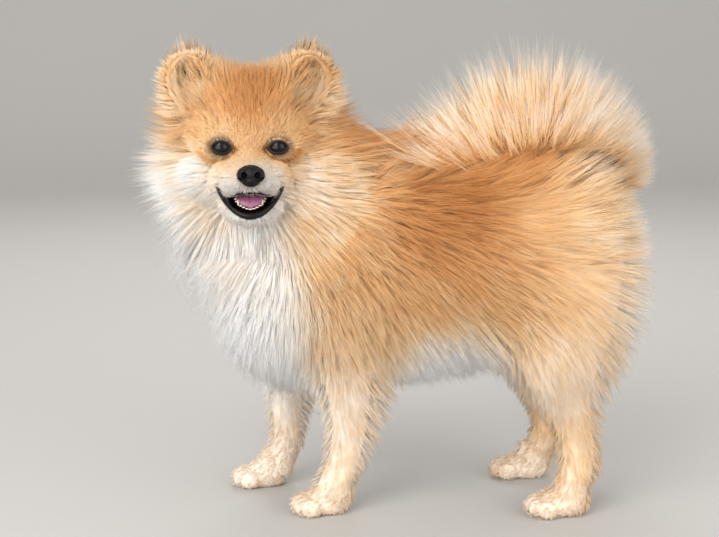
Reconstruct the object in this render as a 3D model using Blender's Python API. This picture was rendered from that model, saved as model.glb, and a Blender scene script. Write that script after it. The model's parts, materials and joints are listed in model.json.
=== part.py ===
"""A standing pomeranian with its head turned to its left, as a life-size still model.

Metres, +Z up, floor at z = 0. The body points along -Y, and the dog's own left side is +X.
Each solid gives the outer form of its part, out to the tips of the coat.
"""

import math

import bmesh
import bpy
import numpy as np
from mathutils import Matrix, Vector

# Clearance between neighbouring pieces, and the shift that puts the outline's centre over the origin
GAP = 0.0003
CENTRE_SHIFT = Vector((-0.0025, 0.0157, 0.0))

# Trunk, mane and tail, with the coat
BACK_HEIGHT = 0.293
BELLY_HEIGHT = 0.092
TRUNK_HALF_WIDTH = 0.094
RUMP_Y = 0.187
MANE_CENTRE = Vector((-0.010, -0.101, 0.224))
MANE_RADII = (0.082, 0.098, 0.101)
CHEST_CENTRE = Vector((0.0, -0.099, 0.1725))
CHEST_RADII = (0.080, 0.070, 0.0835)
RUFF_RADII = (0.087, 0.050, 0.081)
TAIL_CENTRE = Vector((0.0, 0.087, 0.268))
TAIL_RADII = (0.060, 0.096, 0.094)

# Height of the cuts through the legs
ELBOW_HEIGHT = 0.086
GROIN_HEIGHT = 0.148
KNEE_HEIGHT = 0.086
ANKLE_HEIGHT = 0.026

# Head: the middle of the line between the eyes, and the way the face looks
EYE_LINE = Vector((0.062, -0.1335, 0.2895))
FACE_FORWARD = Vector((0.9973, -0.0257, 0.069))
EYE_SPACING = 0.0415
EYE_RADIUS = 0.0085

# Paws: centre over the floor, turn about the vertical, and half length
PAWS = {
    "forepaw_left": ((0.031, -0.0775), 8.0, 0.0225),
    "forepaw_right": ((-0.045, -0.1225), 6.0, 0.0225),
    "hindpaw_left": ((0.054, 0.1065), 6.0, 0.0245),
    "hindpaw_right": ((-0.045, 0.0985), -4.0, 0.0245),
}
PAW_HALF_WIDTH = 0.0165
TOES = ((-0.0115, -0.60), (-0.0042, -0.80), (0.0042, -0.80), (0.0115, -0.60))
TOE_RADII = (0.0056, 0.0088, 0.0085)
CLAW_LENGTH = 0.0062
CLAW_RADIUS = 0.0015

# Rounding draws thin legs in by this much, so their rings are made wider by it
LEG_ALLOWANCE = 0.0013

# Fineness of the fused forms
BODY_VOXEL = 0.0045
HEAD_VOXEL = 0.0021
PAW_VOXEL = 0.0015
TOOTH_VOXEL = 0.0009
FLAT_ANGLE = math.radians(4.0)


def metres(*values):
    """Millimetres to a vector in metres."""
    return Vector(value / 1000.0 for value in values)


def clear_scene():
    for item in list(bpy.data.objects):
        bpy.data.objects.remove(item, do_unlink=True)


def make_material(name, colour, roughness):
    material = bpy.data.materials.new(name)
    material.use_nodes = True
    shader = material.node_tree.nodes["Principled BSDF"]
    shader.inputs["Base Color"].default_value = (*colour, 1.0)
    shader.inputs["Roughness"].default_value = roughness
    shader.inputs["Metallic"].default_value = 0.0
    return material


def new_object(name, build):
    """An object whose mesh is what the function build leaves in a bmesh."""
    shape = bmesh.new()
    build(shape)
    mesh = bpy.data.meshes.new(name)
    shape.to_mesh(mesh)
    shape.free()
    item = bpy.data.objects.new(name, mesh)
    bpy.context.collection.objects.link(item)
    return item


def drop(*items):
    for item in items:
        bpy.data.objects.remove(item, do_unlink=True)


def ball(centre, radii, turn=None, segments=32, rings=16):
    """An ellipsoid with its own half axes, turned by a rotation matrix."""
    frame = Matrix.Translation(centre) @ (turn.to_4x4() if turn else Matrix.Identity(4))
    frame = frame @ Matrix.Diagonal((*radii, 1.0))

    def build(shape):
        bmesh.ops.create_uvsphere(shape, u_segments=segments, v_segments=rings, radius=1.0, matrix=frame)
        bmesh.ops.recalc_face_normals(shape, faces=shape.faces)

    return new_object("form", build)


def box(low, high):
    centre = (Vector(low) + Vector(high)) / 2
    size = Vector(high) - Vector(low)

    def build(shape):
        bmesh.ops.create_cube(shape, size=1.0, matrix=Matrix.Translation(centre) @ Matrix.Diagonal((*size, 1.0)))

    return new_object("form", build)


def smooth_rows(rows, steps):
    """The same rows with more between them, read from a Catmull-Rom curve through them."""
    rows = np.array(rows, float)
    padded = np.vstack([2 * rows[0] - rows[1], rows, 2 * rows[-1] - rows[-2]])
    out = []
    for index in range(len(rows) - 1):
        a, b, c, d = padded[index : index + 4]
        for t in np.arange(steps) / steps:
            out.append(
                0.5 * (2 * b + (c - a) * t + (2 * a - 5 * b + 4 * c - d) * t**2 + (3 * b - a - 3 * c + d) * t**3)
            )
    out.append(rows[-1])
    return out


def loft(rings, sides=28):
    """A closed skin through elliptic rings, each given as its centre and its two half axes."""

    def build(shape):
        loops = []
        for centre, across, upward in rings:
            loop = []
            for index in range(sides):
                angle = 2 * math.pi * index / sides
                loop.append(shape.verts.new(centre + across * math.cos(angle) + upward * math.sin(angle)))
            loops.append(loop)
        for first, second in zip(loops, loops[1:]):
            for index in range(sides):
                after = (index + 1) % sides
                shape.faces.new((first[index], first[after], second[after], second[index]))
        shape.faces.new(list(reversed(loops[0])))
        shape.faces.new(loops[-1])
        bmesh.ops.recalc_face_normals(shape, faces=shape.faces)

    return new_object("form", build)


def column(rows):
    """A leg: rows of x, y, height, half width across the body and half width along it."""
    rings = []
    for x, y, z, across, along in smooth_rows(rows, 3):
        across_axis = Vector((across + LEG_ALLOWANCE, 0, 0))
        rings.append((Vector((x, y, z)), across_axis, Vector((0, along + LEG_ALLOWANCE, 0))))
    return loft(rings)


def evaluated_mesh(item):
    depsgraph = bpy.context.evaluated_depsgraph_get()
    return bpy.data.meshes.new_from_object(item.evaluated_get(depsgraph))


def apply_modifiers(item):
    mesh = evaluated_mesh(item)
    item.modifiers.clear()
    item.data = mesh


def join(items):
    """One object holding the faces of all the items."""
    together = bmesh.new()
    for item in items:
        together.from_mesh(item.data)
    mesh = bpy.data.meshes.new("joined")
    together.to_mesh(mesh)
    together.free()
    drop(*items)
    joined = bpy.data.objects.new("joined", mesh)
    bpy.context.collection.objects.link(joined)
    return joined


def fuse(items, voxel, rounds, triangles):
    """The items as one rounded body of about so many triangles."""
    body = join(items)
    remesh = body.modifiers.new("remesh", "REMESH")
    remesh.mode = "VOXEL"
    remesh.voxel_size = voxel
    smooth = body.modifiers.new("smooth", "SMOOTH")
    smooth.factor = 0.5
    smooth.iterations = rounds
    apply_modifiers(body)
    thin = body.modifiers.new("thin", "DECIMATE")
    thin.ratio = min(1.0, triangles / sum(len(face.vertices) - 2 for face in body.data.polygons))
    thin.use_collapse_triangulate = True
    apply_modifiers(body)
    return body


def boolean(item, cutter, operation):
    cut = item.modifiers.new("cut", "BOOLEAN")
    cut.operation = operation
    cut.solver = "EXACT"
    cut.object = cutter
    apply_modifiers(item)
    keep_largest_body(item)


def keep_largest_body(item):
    """Drops the small crumbs that a cut can leave beside the main body."""
    shape = bmesh.new()
    shape.from_mesh(item.data)
    bmesh.ops.dissolve_degenerate(shape, dist=1e-6, edges=shape.edges)
    left = set(shape.verts)
    bodies = []
    while left:
        seed = left.pop()
        body = {seed}
        edge_of_body = [seed]
        while edge_of_body:
            vert = edge_of_body.pop()
            for edge in vert.link_edges:
                other = edge.other_vert(vert)
                if other in left:
                    left.discard(other)
                    body.add(other)
                    edge_of_body.append(other)
        bodies.append(body)
    largest = max(bodies, key=len)
    crumbs = [vert for vert in shape.verts if vert not in largest]
    bmesh.ops.delete(shape, geom=crumbs, context="VERTS")
    bmesh.ops.dissolve_limit(shape, angle_limit=FLAT_ANGLE, verts=shape.verts, edges=shape.edges)
    bmesh.ops.triangulate(shape, faces=shape.faces)
    shape.to_mesh(item.data)
    shape.free()


def copy_of(item):
    twin = item.copy()
    twin.data = item.data.copy()
    bpy.context.collection.objects.link(twin)
    return twin


def grown(item, distance=GAP):
    """A copy whose surface lies a little further out, for cutting its neighbours with clearance."""
    twin = copy_of(item)
    shape = bmesh.new()
    shape.from_mesh(twin.data)
    shape.normal_update()
    moves = []
    for vert in shape.verts:
        sharpness = max(0.35, vert.calc_shell_factor() and 1.0 / vert.calc_shell_factor())
        moves.append(vert.normal * distance / sharpness)
    for vert, move in zip(shape.verts, moves):
        vert.co += move
    shape.to_mesh(twin.data)
    shape.free()
    return twin


def cut_away(item, *neighbours):
    for neighbour in neighbours:
        cutter = grown(neighbour)
        boolean(item, cutter, "DIFFERENCE")
        drop(cutter)


def take(item, low, high):
    """Parts off what lies in a box: returns it as a new object and leaves a gap round the box."""
    piece = copy_of(item)
    inside = box(low, high)
    boolean(piece, inside, "INTERSECT")
    edge = Vector((GAP, GAP, GAP))
    outside = box(Vector(low) - edge, Vector(high) + edge)
    boolean(item, outside, "DIFFERENCE")
    drop(inside, outside)
    return piece


def head_axes():
    """The head's left, forward and up directions as the columns of a rotation matrix."""
    forward = FACE_FORWARD.normalized()
    left = Vector((0, 0, 1)).cross(forward).normalized()
    up = forward.cross(left)
    return Matrix((left, forward, up)).transposed()


HEAD_AXES = head_axes()


def in_head(left, forward, up):
    """A point of the head, from millimetres to the left, forward and up of the eye line's middle."""
    return EYE_LINE + HEAD_AXES @ metres(left, forward, up)


def head_ball(left, forward, up, radii, tilt=0.0, segments=24, rings=12):
    """An ellipsoid in the head's own directions, tilted in the plane of the face by degrees."""
    turn = HEAD_AXES @ Matrix.Rotation(math.radians(tilt), 3, "Y")
    return ball(in_head(left, forward, up), metres(*radii), turn, segments, rings)


def head_loft(rows, sides=28, steps=3):
    """A loft along the face: rows of forward, up, half width and half height in millimetres."""
    rings = []
    for forward, up, width, height in smooth_rows(rows, steps):
        across = HEAD_AXES @ metres(width, 0, 0)
        upward = HEAD_AXES @ metres(0, 0, height)
        rings.append((in_head(0, forward, up), across, upward))
    return loft(rings, sides)


def trunk_forms():
    middle = (BACK_HEIGHT + BELLY_HEIGHT) / 2
    half = (BACK_HEIGHT - BELLY_HEIGHT) / 2
    # y, lift of the centre, and shares of the half width and half height
    rows = (
        (-0.115, 0.008, 0.60, 0.66),
        (-0.060, 0.003, 0.90, 0.95),
        (0.000, 0.000, 0.96, 1.00),
        (0.055, 0.002, 0.97, 0.94),
        (0.100, 0.004, 1.01, 0.93),
        (0.145, 0.003, 0.90, 0.86),
        (RUMP_Y - 0.012, -0.004, 0.66, 0.62),
        (RUMP_Y, -0.008, 0.28, 0.28),
    )
    rings = []
    for y, lift, width, height in smooth_rows(rows, 3):
        across = Vector((TRUNK_HALF_WIDTH * width, 0, 0))
        rings.append((Vector((0, y, middle + lift)), across, Vector((0, 0, half * height))))
    ruff = ball(in_head(0, -61, -20), RUFF_RADII, HEAD_AXES)
    crest = ball(in_head(4, -64, 21), metres(68, 44, 41), HEAD_AXES)
    corners = [ball(in_head(side * 52, -52, 28), metres(34, 32, 34), HEAD_AXES) for side in (-1, 1)]
    mane = ball(MANE_CENTRE, MANE_RADII)
    chest = ball(CHEST_CENTRE, CHEST_RADII)
    return [loft(rings), mane, chest, ruff, crest, *corners]


def leg_forms():
    near_fore = (
        (0.040, -0.068, 0.170, 0.036, 0.050),
        (0.036, -0.060, 0.130, 0.034, 0.043),
        (0.034, -0.0556, 0.104, 0.029, 0.036),
        (0.033, -0.0532, 0.080, 0.023, 0.031),
        (0.032, -0.0548, 0.058, 0.0185, 0.0245),
        (0.031, -0.0605, 0.038, 0.0165, 0.0210),
        (0.031, -0.0680, 0.020, 0.0160, 0.0200),
        (0.031, -0.0700, 0.012, 0.0150, 0.0180),
    )
    far_fore = (
        (-0.040, -0.080, 0.160, 0.036, 0.050),
        (-0.043, -0.090, 0.120, 0.032, 0.038),
        (-0.045, -0.098, 0.090, 0.025, 0.029),
        (-0.045, -0.1005, 0.064, 0.0190, 0.0215),
        (-0.045, -0.1010, 0.042, 0.0160, 0.0160),
        (-0.045, -0.1065, 0.026, 0.0155, 0.0160),
        (-0.045, -0.1110, 0.012, 0.0150, 0.0170),
    )
    near_hind = (
        (0.050, 0.112, 0.200, 0.046, 0.068),
        (0.056, 0.1105, 0.160, 0.043, 0.067),
        (0.057, 0.1085, 0.133, 0.040, 0.0600),
        (0.057, 0.1083, 0.113, 0.036, 0.0515),
        (0.056, 0.1098, 0.097, 0.030, 0.0405),
        (0.055, 0.1125, 0.084, 0.025, 0.0305),
        (0.055, 0.1165, 0.070, 0.0195, 0.0220),
        (0.055, 0.1200, 0.054, 0.0165, 0.0188),
        (0.055, 0.1208, 0.036, 0.0160, 0.0183),
        (0.055, 0.1160, 0.020, 0.0155, 0.0180),
        (0.055, 0.1140, 0.012, 0.0150, 0.0160),
    )
    far_hind = (
        (-0.050, 0.112, 0.200, 0.046, 0.068),
        (-0.055, 0.110, 0.160, 0.043, 0.066),
        (-0.056, 0.108, 0.130, 0.039, 0.057),
        (-0.054, 0.109, 0.105, 0.032, 0.044),
        (-0.050, 0.113, 0.082, 0.025, 0.031),
        (-0.047, 0.1185, 0.062, 0.0185, 0.0220),
        (-0.046, 0.1225, 0.048, 0.0165, 0.0182),
        (-0.046, 0.1200, 0.035, 0.0160, 0.0165),
        (-0.046, 0.1120, 0.020, 0.0155, 0.0175),
        (-0.046, 0.1080, 0.012, 0.0150, 0.0160),
    )
    return [column(rows) for rows in (near_fore, far_fore, near_hind, far_hind)]


def build_head():
    forms = [
        head_ball(0, -28, 14, (46, 40, 46)),
        head_ball(0, -30, -8, (57, 36, 48)),
        head_ball(0, 0, -4, (17, 15, 16)),
        head_loft(
            (
                (-16, -16, 22, 15),
                (-4, -18, 25, 16.5),
                (8, -20, 22.5, 14.5),
                (19, -22, 18, 13.0),
                (28, -23.5, 14.5, 12.0),
                (34, -24, 9.5, 8.5),
                (36, -24, 4.5, 4.5),
            )
        ),
    ]
    for side in (-1, 1):
        forms.append(head_ball(side * 27, -18, -22, (26, 25, 24)))
        forms.append(head_ball(side * 13, 4, -26, (12, 14, 11)))
        forms.append(head_ball(side * 25, -24, 42, (27, 24, 25)))
    return fuse(forms, HEAD_VOXEL, 7, 720)


def build_jaw():
    """The lower jaw before its hollow and its teeth."""
    return head_loft(
        (
            (-10, -36.5, 20, 10),
            (2, -39, 19.5, 10),
            (12, -42, 17, 8.5),
            (21, -44.5, 13, 7.2),
            (27, -45.5, 9.5, 5.8),
            (30, -45.5, 4, 3),
        ),
        16,
        2,
    )


def tooth_arch():
    """Lower incisors and the two canines, as small rounded pegs round the front of the jaw."""
    pegs = []
    for index in range(-3, 4):
        angle = math.radians(90 - index * 24)
        left = 8.6 * math.cos(angle)
        forward = 16.5 + 7.8 * math.sin(angle)
        canine = abs(index) == 3
        half_height = 3.4 if canine else 2.3
        pegs.append(head_ball(left, forward, -41.0 if canine else -42.0, (1.25, 1.1, half_height)))
    return pegs


def finish_jaw(jaw):
    """Hollows the jaw for the tongue and joins the teeth to it."""
    hollow = head_loft(
        ((-14, -30, 15, 8), (4, -33, 14.5, 8), (16, -37, 12, 7), (23, -40, 8.5, 5), (26, -40.5, 3, 2)), 16, 2
    )
    boolean(jaw, hollow, "DIFFERENCE")
    drop(hollow)
    return fuse([jaw, *tooth_arch()], TOOTH_VOXEL, 1, 460)


def build_tongue():
    return fuse(
        [
            head_loft(
                (
                    (-9, -35.5, 11, 3.4),
                    (3, -36.0, 11.0, 3.6),
                    (12, -38.0, 9.6, 3.4),
                    (18.5, -39.8, 6.6, 2.4),
                    (21, -40.2, 2.5, 1.2),
                )
            )
        ],
        0.0012,
        1,
        150,
    )


def build_nose():
    nose = fuse(
        [
            head_ball(0, 33.0, -20.8, (9.8, 7.6, 7.6)),
            head_ball(0, 33.5, -24.5, (6.0, 6.0, 6.5)),
            head_ball(-5.2, 34.0, -20.6, (4.8, 6.4, 5.6)),
            head_ball(5.2, 34.0, -20.6, (4.8, 6.4, 5.6)),
        ],
        0.0011,
        2,
        160,
    )
    for side in (-1, 1):
        nostril = head_ball(side * 4.8, 40.0, -20.4, (2.0, 4.0, 2.4), side * 20, 10, 6)
        boolean(nose, nostril, "DIFFERENCE")
        drop(nostril)
    return nose


def build_ear(side):
    """A small upright ear with its tip folded forward, cupped in front, with its tuft of hair."""
    ear = fuse(
        [
            head_ball(side * 43, -29, 48, (26, 13, 28), side * 10),
            head_ball(side * 45, -19, 60, (19, 9, 10), side * 10),
            head_ball(side * 45, -29, 66, (13, 7, 13), side * 6),
            head_ball(side * 28, -30, 58, (11, 8, 16), side * -10),
            head_ball(side * 60, -30, 44, (12, 9, 22), side * 20),
        ],
        0.0019,
        2,
        190,
    )
    cup = head_ball(side * 43, -10, 47, (12, 9, 13), side * 10, 14, 8)
    boolean(ear, cup, "DIFFERENCE")
    drop(cup)
    return ear


def build_tail():
    """The plume lying over the back, thickest over its root and thin at the fan's edge."""
    forms = [
        ball(TAIL_CENTRE, TAIL_RADII),
        ball(TAIL_CENTRE + Vector((0, 0.030, 0.000)), (0.056, 0.063, 0.080)),
        ball(TAIL_CENTRE + Vector((0, -0.036, 0.000)), (0.055, 0.070, 0.062)),
    ]
    return fuse(forms, BODY_VOXEL, 2, 500)


def paw_frame(name):
    (x, y), turn, half_length = PAWS[name]
    return Matrix.Translation((x, y, 0)) @ Matrix.Rotation(math.radians(turn), 4, "Z"), half_length


def build_paw(name):
    """A rounded paw with four toes on a flat sole, below the ankle's cut."""
    frame, half_length = paw_frame(name)
    turn = frame.to_3x3()
    forms = [
        ball(frame @ Vector((0, 0.003, 0.010)), (PAW_HALF_WIDTH, half_length - 0.003, 0.0150), turn),
        ball(frame @ Vector((0, 0.010, 0.020)), (0.0150, 0.0145, 0.0160), turn),
    ]
    for across, along in TOES:
        toe = Vector((across, half_length * along, 0.0078))
        forms.append(ball(frame @ toe, TOE_RADII, turn))
    paw = fuse(forms, PAW_VOXEL, 1, 170)
    room = box((-1, -1, 0), (1, 1, ANKLE_HEIGHT - GAP))
    boolean(paw, room, "INTERSECT")
    drop(room)
    return paw


def build_claw(name, toe):
    """A short blunt claw at the front of one toe."""
    frame, half_length = paw_frame(name)
    across, along = TOES[toe]
    root = Vector((across, half_length * along - 0.0062, 0.0062))
    slope = Matrix.Rotation(math.radians(118), 4, "X")

    def build(shape):
        place = frame @ Matrix.Translation(root) @ slope
        bmesh.ops.create_cone(
            shape,
            cap_ends=True,
            segments=5,
            radius1=CLAW_RADIUS,
            radius2=CLAW_RADIUS * 0.35,
            depth=CLAW_LENGTH,
            matrix=place,
        )

    return new_object("claw", build)


def build_eye(side):
    centre = in_head(side * EYE_SPACING * 500, 0, 0)
    return ball(centre, (EYE_RADIUS,) * 3, HEAD_AXES, 12, 7)


def name_part(item, name, material, parent):
    item.name = name
    item.data.name = name
    item.data.materials.clear()
    item.data.materials.append(material)
    item.data.shade_smooth()
    item.parent = parent
    return item


def build_dog():
    coat = make_material("orange coat", (0.72, 0.42, 0.18), 0.9)
    cream = make_material("cream coat", (0.86, 0.72, 0.54), 0.9)
    white = make_material("white coat", (0.90, 0.86, 0.80), 0.9)
    black = make_material("black leather", (0.012, 0.012, 0.014), 0.45)
    eye_black = make_material("dark eye", (0.015, 0.010, 0.008), 0.08)
    pink = make_material("tongue pink", (0.55, 0.22, 0.28), 0.35)
    horn = make_material("claw horn", (0.10, 0.085, 0.075), 0.4)

    dog = bpy.data.objects.new("dog", None)
    dog.location = CENTRE_SHIFT
    bpy.context.collection.objects.link(dog)

    def add(item, name, material):
        return name_part(item, name, material, dog)

    head = build_head()
    eyes = {"right": build_eye(-1), "left": build_eye(1)}
    nose = build_nose()
    jaw = build_jaw()
    tongue = build_tongue()
    whole_head = copy_of(head)
    whole_jaw = copy_of(jaw)
    whole_tongue = copy_of(tongue)
    mouth = head_loft(((-2, -33, 23, 2.5), (8, -35, 27, 5.0), (20, -38, 26, 6.5), (36, -42, 24, 9.0)), 16, 2)
    boolean(head, mouth, "DIFFERENCE")
    drop(mouth)
    jaw = finish_jaw(jaw)
    cut_away(tongue, jaw)
    cut_away(head, whole_jaw, whole_tongue, nose, *eyes.values())
    body = fuse(trunk_forms() + leg_forms(), BODY_VOXEL, 5, 1950)
    tail = build_tail()
    cut_away(tail, body)
    ears = {"right": build_ear(-1), "left": build_ear(1)}
    cut_away(body, whole_head, whole_jaw, whole_tongue, *ears.values())
    for ear in ears.values():
        cut_away(ear, whole_head)
    drop(whole_head, whole_jaw, whole_tongue)

    reach = 0.5
    feet_end = box((-reach, -reach, -reach), (reach, reach, ANKLE_HEIGHT))
    boolean(body, feet_end, "DIFFERENCE")
    drop(feet_end)
    legs = {}
    for side, low_x, high_x in (("left", GAP, reach), ("right", -reach, -GAP)):
        legs["foreleg_" + side] = take(body, (low_x, -reach, -reach), (high_x, 0.0, ELBOW_HEIGHT))
        legs["hindleg_" + side] = take(body, (low_x, 0.0, -reach), (high_x, reach, KNEE_HEIGHT))
        legs["thigh_" + side] = take(body, (low_x, 0.034, KNEE_HEIGHT + GAP), (high_x, reach, GROIN_HEIGHT))
    neck = copy_of(body)
    mane_cutter = ball((0, -0.120, 0.252), (0.150, 0.108, 0.118))
    boolean(neck, mane_cutter, "INTERSECT")
    cut_away(body, mane_cutter)
    drop(mane_cutter)
    chest = take(body, (-reach, -reach, -reach), (reach, -0.022, reach))

    add(head, "head", coat)
    add(jaw, "lower_jaw", cream)
    add(nose, "nose", black)
    add(tongue, "tongue", pink)
    add(neck, "neck", cream)
    add(chest, "chest", white)
    add(body, "trunk", coat)
    add(tail, "tail", cream)
    for side in ("left", "right"):
        add(eyes[side], "eye_" + side, eye_black)
        add(ears[side], "ear_" + side, coat)
    for name, leg in legs.items():
        add(leg, name, cream)
    for name in PAWS:
        paw = build_paw(name)
        for toe in range(len(TOES)):
            claw = build_claw(name, toe)
            cut_away(paw, claw)
            add(claw, f"claw_{name}_{toe + 1}", horn)
        add(paw, name, white)


if __name__ == "__main__":
    clear_scene()
    build_dog()
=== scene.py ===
"""The looks of a standing pomeranian with its head turned to its left.

One skin carries the form of the flesh. The coat grows on it as tufts of solid strands that follow
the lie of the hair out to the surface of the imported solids. Lengths are metres, or millimetres in
the head's own directions: left, forward out of the face, and up from the middle of the eye line.
"""

import json
import math

import bmesh
import bpy
import numpy as np
from mathutils import Matrix, Vector
from mathutils.bvhtree import BVHTree

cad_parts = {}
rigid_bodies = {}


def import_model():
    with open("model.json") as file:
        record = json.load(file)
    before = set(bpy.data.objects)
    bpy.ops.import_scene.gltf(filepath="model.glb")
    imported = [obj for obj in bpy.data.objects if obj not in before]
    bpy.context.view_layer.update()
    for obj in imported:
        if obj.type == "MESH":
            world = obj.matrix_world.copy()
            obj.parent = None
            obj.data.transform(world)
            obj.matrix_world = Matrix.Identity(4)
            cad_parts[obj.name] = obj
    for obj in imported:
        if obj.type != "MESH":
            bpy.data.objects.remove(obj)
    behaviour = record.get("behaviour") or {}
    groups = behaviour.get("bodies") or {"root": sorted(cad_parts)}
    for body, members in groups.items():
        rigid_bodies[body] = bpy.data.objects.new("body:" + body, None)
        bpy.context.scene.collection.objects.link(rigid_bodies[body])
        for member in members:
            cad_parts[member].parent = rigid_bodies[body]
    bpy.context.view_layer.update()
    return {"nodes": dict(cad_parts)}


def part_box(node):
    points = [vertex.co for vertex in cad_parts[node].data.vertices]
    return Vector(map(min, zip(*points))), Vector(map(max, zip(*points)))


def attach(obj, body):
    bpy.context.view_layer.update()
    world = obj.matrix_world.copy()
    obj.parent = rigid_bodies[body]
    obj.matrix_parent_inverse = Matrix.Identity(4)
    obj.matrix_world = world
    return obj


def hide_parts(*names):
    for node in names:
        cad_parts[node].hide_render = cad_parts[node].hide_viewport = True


bl_info = {
    "name": "Pomeranian Coat and Face",
    "version": (1, 0, 0),
    "blender": (4, 5, 0),
    "location": "3D View > Sidebar > Pomeranian",
    "description": "Builds the skin, face and coat of a life-size pomeranian round its packed solids",
    "category": "Object",
}

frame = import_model()

# Where the dog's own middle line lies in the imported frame
SHIFT = Vector((-0.0025, 0.0157, 0.0))

# The photograph's camera
PHOTO_WIDTH = 719
FOCAL_PIXELS = 1380.0
SENSOR_WIDTH = 36.0
CAMERA_PLACE = Vector((1.0717, -0.1435, 0.36))
CAMERA_AZIMUTH = math.radians(84.0)
CAMERA_PITCH = math.radians(9.0)

FACE_FORWARD = Vector((0.9973, -0.0257, 0.069))
FLESH = (
    ["head", "lower_jaw", "ear_left", "ear_right", "neck", "chest", "trunk", "tail"]
    + [f"{part}_{side}" for part in ("foreleg", "thigh", "hindleg") for side in ("left", "right")]
    + [f"{part}_{side}" for part in ("forepaw", "hindpaw") for side in ("left", "right")]
)
PAWS = ("forepaw_left", "forepaw_right", "hindpaw_left", "hindpaw_right")

# Thickness of the eyelids
LID_THICKNESS = 0.0011

# Patch of the coat's map that one tuft fills
PATCH = 0.003

# Corners in each ring of a lofted form
LOFT_SIDES = 32


def middle_of(node):
    low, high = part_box(node)
    return (low + high) / 2


EYES = {"left": middle_of("eye_left"), "right": middle_of("eye_right")}
EYE_LINE = (EYES["left"] + EYES["right"]) / 2
EYE_RADIUS = (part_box("eye_left")[1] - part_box("eye_left")[0]).z / 2


def head_axes():
    """The head's left, forward and up directions as the columns of a matrix."""
    forward = FACE_FORWARD.normalized()
    left = Vector((0, 0, 1)).cross(forward).normalized()
    return Matrix((left, forward, forward.cross(left))).transposed()


HEAD_AXES = head_axes()
HEAD_LEFT, HEAD_FORWARD, HEAD_UP = (HEAD_AXES.col[index].copy() for index in range(3))


def millimetres(*values):
    return Vector(value / 1000 for value in values)


def at(x, y, z):
    """A point of the body, from metres in the dog's own frame."""
    return Vector((x, y, z)) + SHIFT


def in_head(left, forward, up):
    """A point of the head, from millimetres to the left, forward and up of the eye line."""
    return EYE_LINE + HEAD_AXES @ millimetres(left, forward, up)


# Mesh making


def new_piece(name, mesh):
    piece = bpy.data.objects.new(name, mesh)
    bpy.context.scene.collection.objects.link(piece)
    return piece


def new_form(build):
    """An object holding what the function build leaves in a bmesh, with its faces pointing out."""
    shape = bmesh.new()
    build(shape)
    bmesh.ops.recalc_face_normals(shape, faces=shape.faces)
    mesh = bpy.data.meshes.new("form")
    shape.to_mesh(mesh)
    shape.free()
    return new_piece("form", mesh)


def drop(*items):
    for item in items:
        mesh = item.data
        bpy.data.objects.remove(item, do_unlink=True)
        if mesh.users == 0:
            bpy.data.meshes.remove(mesh)


def ball(centre, radii, turn=None, segments=32, rings=20):
    place = Matrix.Translation(centre) @ (turn.to_4x4() if turn else Matrix.Identity(4))
    place = place @ Matrix.Diagonal((*radii, 1.0))
    return new_form(
        lambda shape: bmesh.ops.create_uvsphere(
            shape, u_segments=segments, v_segments=rings, radius=1.0, matrix=place
        )
    )


def head_ball(left, forward, up, radii, tilt=0.0, segments=32, rings=20):
    turn = HEAD_AXES @ Matrix.Rotation(math.radians(tilt), 3, "Y")
    return ball(in_head(left, forward, up), millimetres(*radii), turn, segments, rings)


def smooth_rows(rows, steps):
    """The same rows with more between them, read from a Catmull-Rom curve through them."""
    rows = np.array(rows, float)
    padded = np.vstack([2 * rows[0] - rows[1], rows, 2 * rows[-1] - rows[-2]])
    out = []
    for index in range(len(rows) - 1):
        a, b, c, d = padded[index : index + 4]
        for t in np.arange(steps) / steps:
            cubic = (3 * b - a - 3 * c + d) * t**3
            out.append(0.5 * (2 * b + (c - a) * t + (2 * a - 5 * b + 4 * c - d) * t**2 + cubic))
    out.append(rows[-1])
    return out


def skin_loops(shape, loops, closed=False):
    """Bridges rings of points into a tube, with its ends capped unless the last ring meets the first."""
    rings = [[shape.verts.new(point) for point in loop] for loop in loops]
    pairs = list(zip(rings, rings[1:])) + ([(rings[-1], rings[0])] if closed else [])
    for first, second in pairs:
        for index in range(len(first)):
            after = (index + 1) % len(first)
            shape.faces.new((first[index], first[after], second[after], second[index]))
    if not closed:
        shape.faces.new(list(reversed(rings[0])))
        shape.faces.new(rings[-1])


def looped(loops, closed=False):
    return new_form(lambda shape: skin_loops(shape, loops, closed))


def ring(centre, across, upward, sides):
    turns = (2 * math.pi * index / sides for index in range(sides))
    return [centre + across * math.cos(turn) + upward * math.sin(turn) for turn in turns]


def loft(rings):
    return looped([ring(*row, LOFT_SIDES) for row in rings])


def tube(points, radii, closed=False, sides=12, flatten=1.0, flat_way=None):
    """A tube along points, thinner along flat_way where flatten is under 1."""
    loops = []
    count = len(points)
    for index, (point, radius) in enumerate(zip(points, radii)):
        before = points[index - 1] if index or closed else point
        after = points[(index + 1) % count] if index < count - 1 or closed else point
        along = (after - before).normalized()
        guide = flat_way or Vector((0, 0, 1))
        side = along.cross(guide).normalized()
        other = side.cross(along).normalized()
        loops.append(ring(point, side * radius, other * radius * flatten, sides))
    return looped(loops, closed)


def column(rows):
    """A limb: rows of x, y, height, half width across the body and half width along it."""
    rings = []
    for x, y, z, across, along in smooth_rows(rows, 3):
        rings.append((at(x, y, z), Vector((across, 0, 0)), Vector((0, along, 0))))
    return loft(rings)


def head_loft(rows):
    """A loft along the face: rows of forward, up, half width and half height in millimetres."""
    rings = []
    for forward, up, width, height in smooth_rows(rows, 4):
        across = HEAD_AXES @ millimetres(width, 0, 0)
        rings.append((in_head(0, forward, up), across, HEAD_AXES @ millimetres(0, 0, height)))
    return loft(rings)


def apply_modifiers(piece):
    depsgraph = bpy.context.evaluated_depsgraph_get()
    mesh = bpy.data.meshes.new_from_object(piece.evaluated_get(depsgraph))
    old = piece.data
    piece.modifiers.clear()
    piece.data = mesh
    bpy.data.meshes.remove(old)


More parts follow.
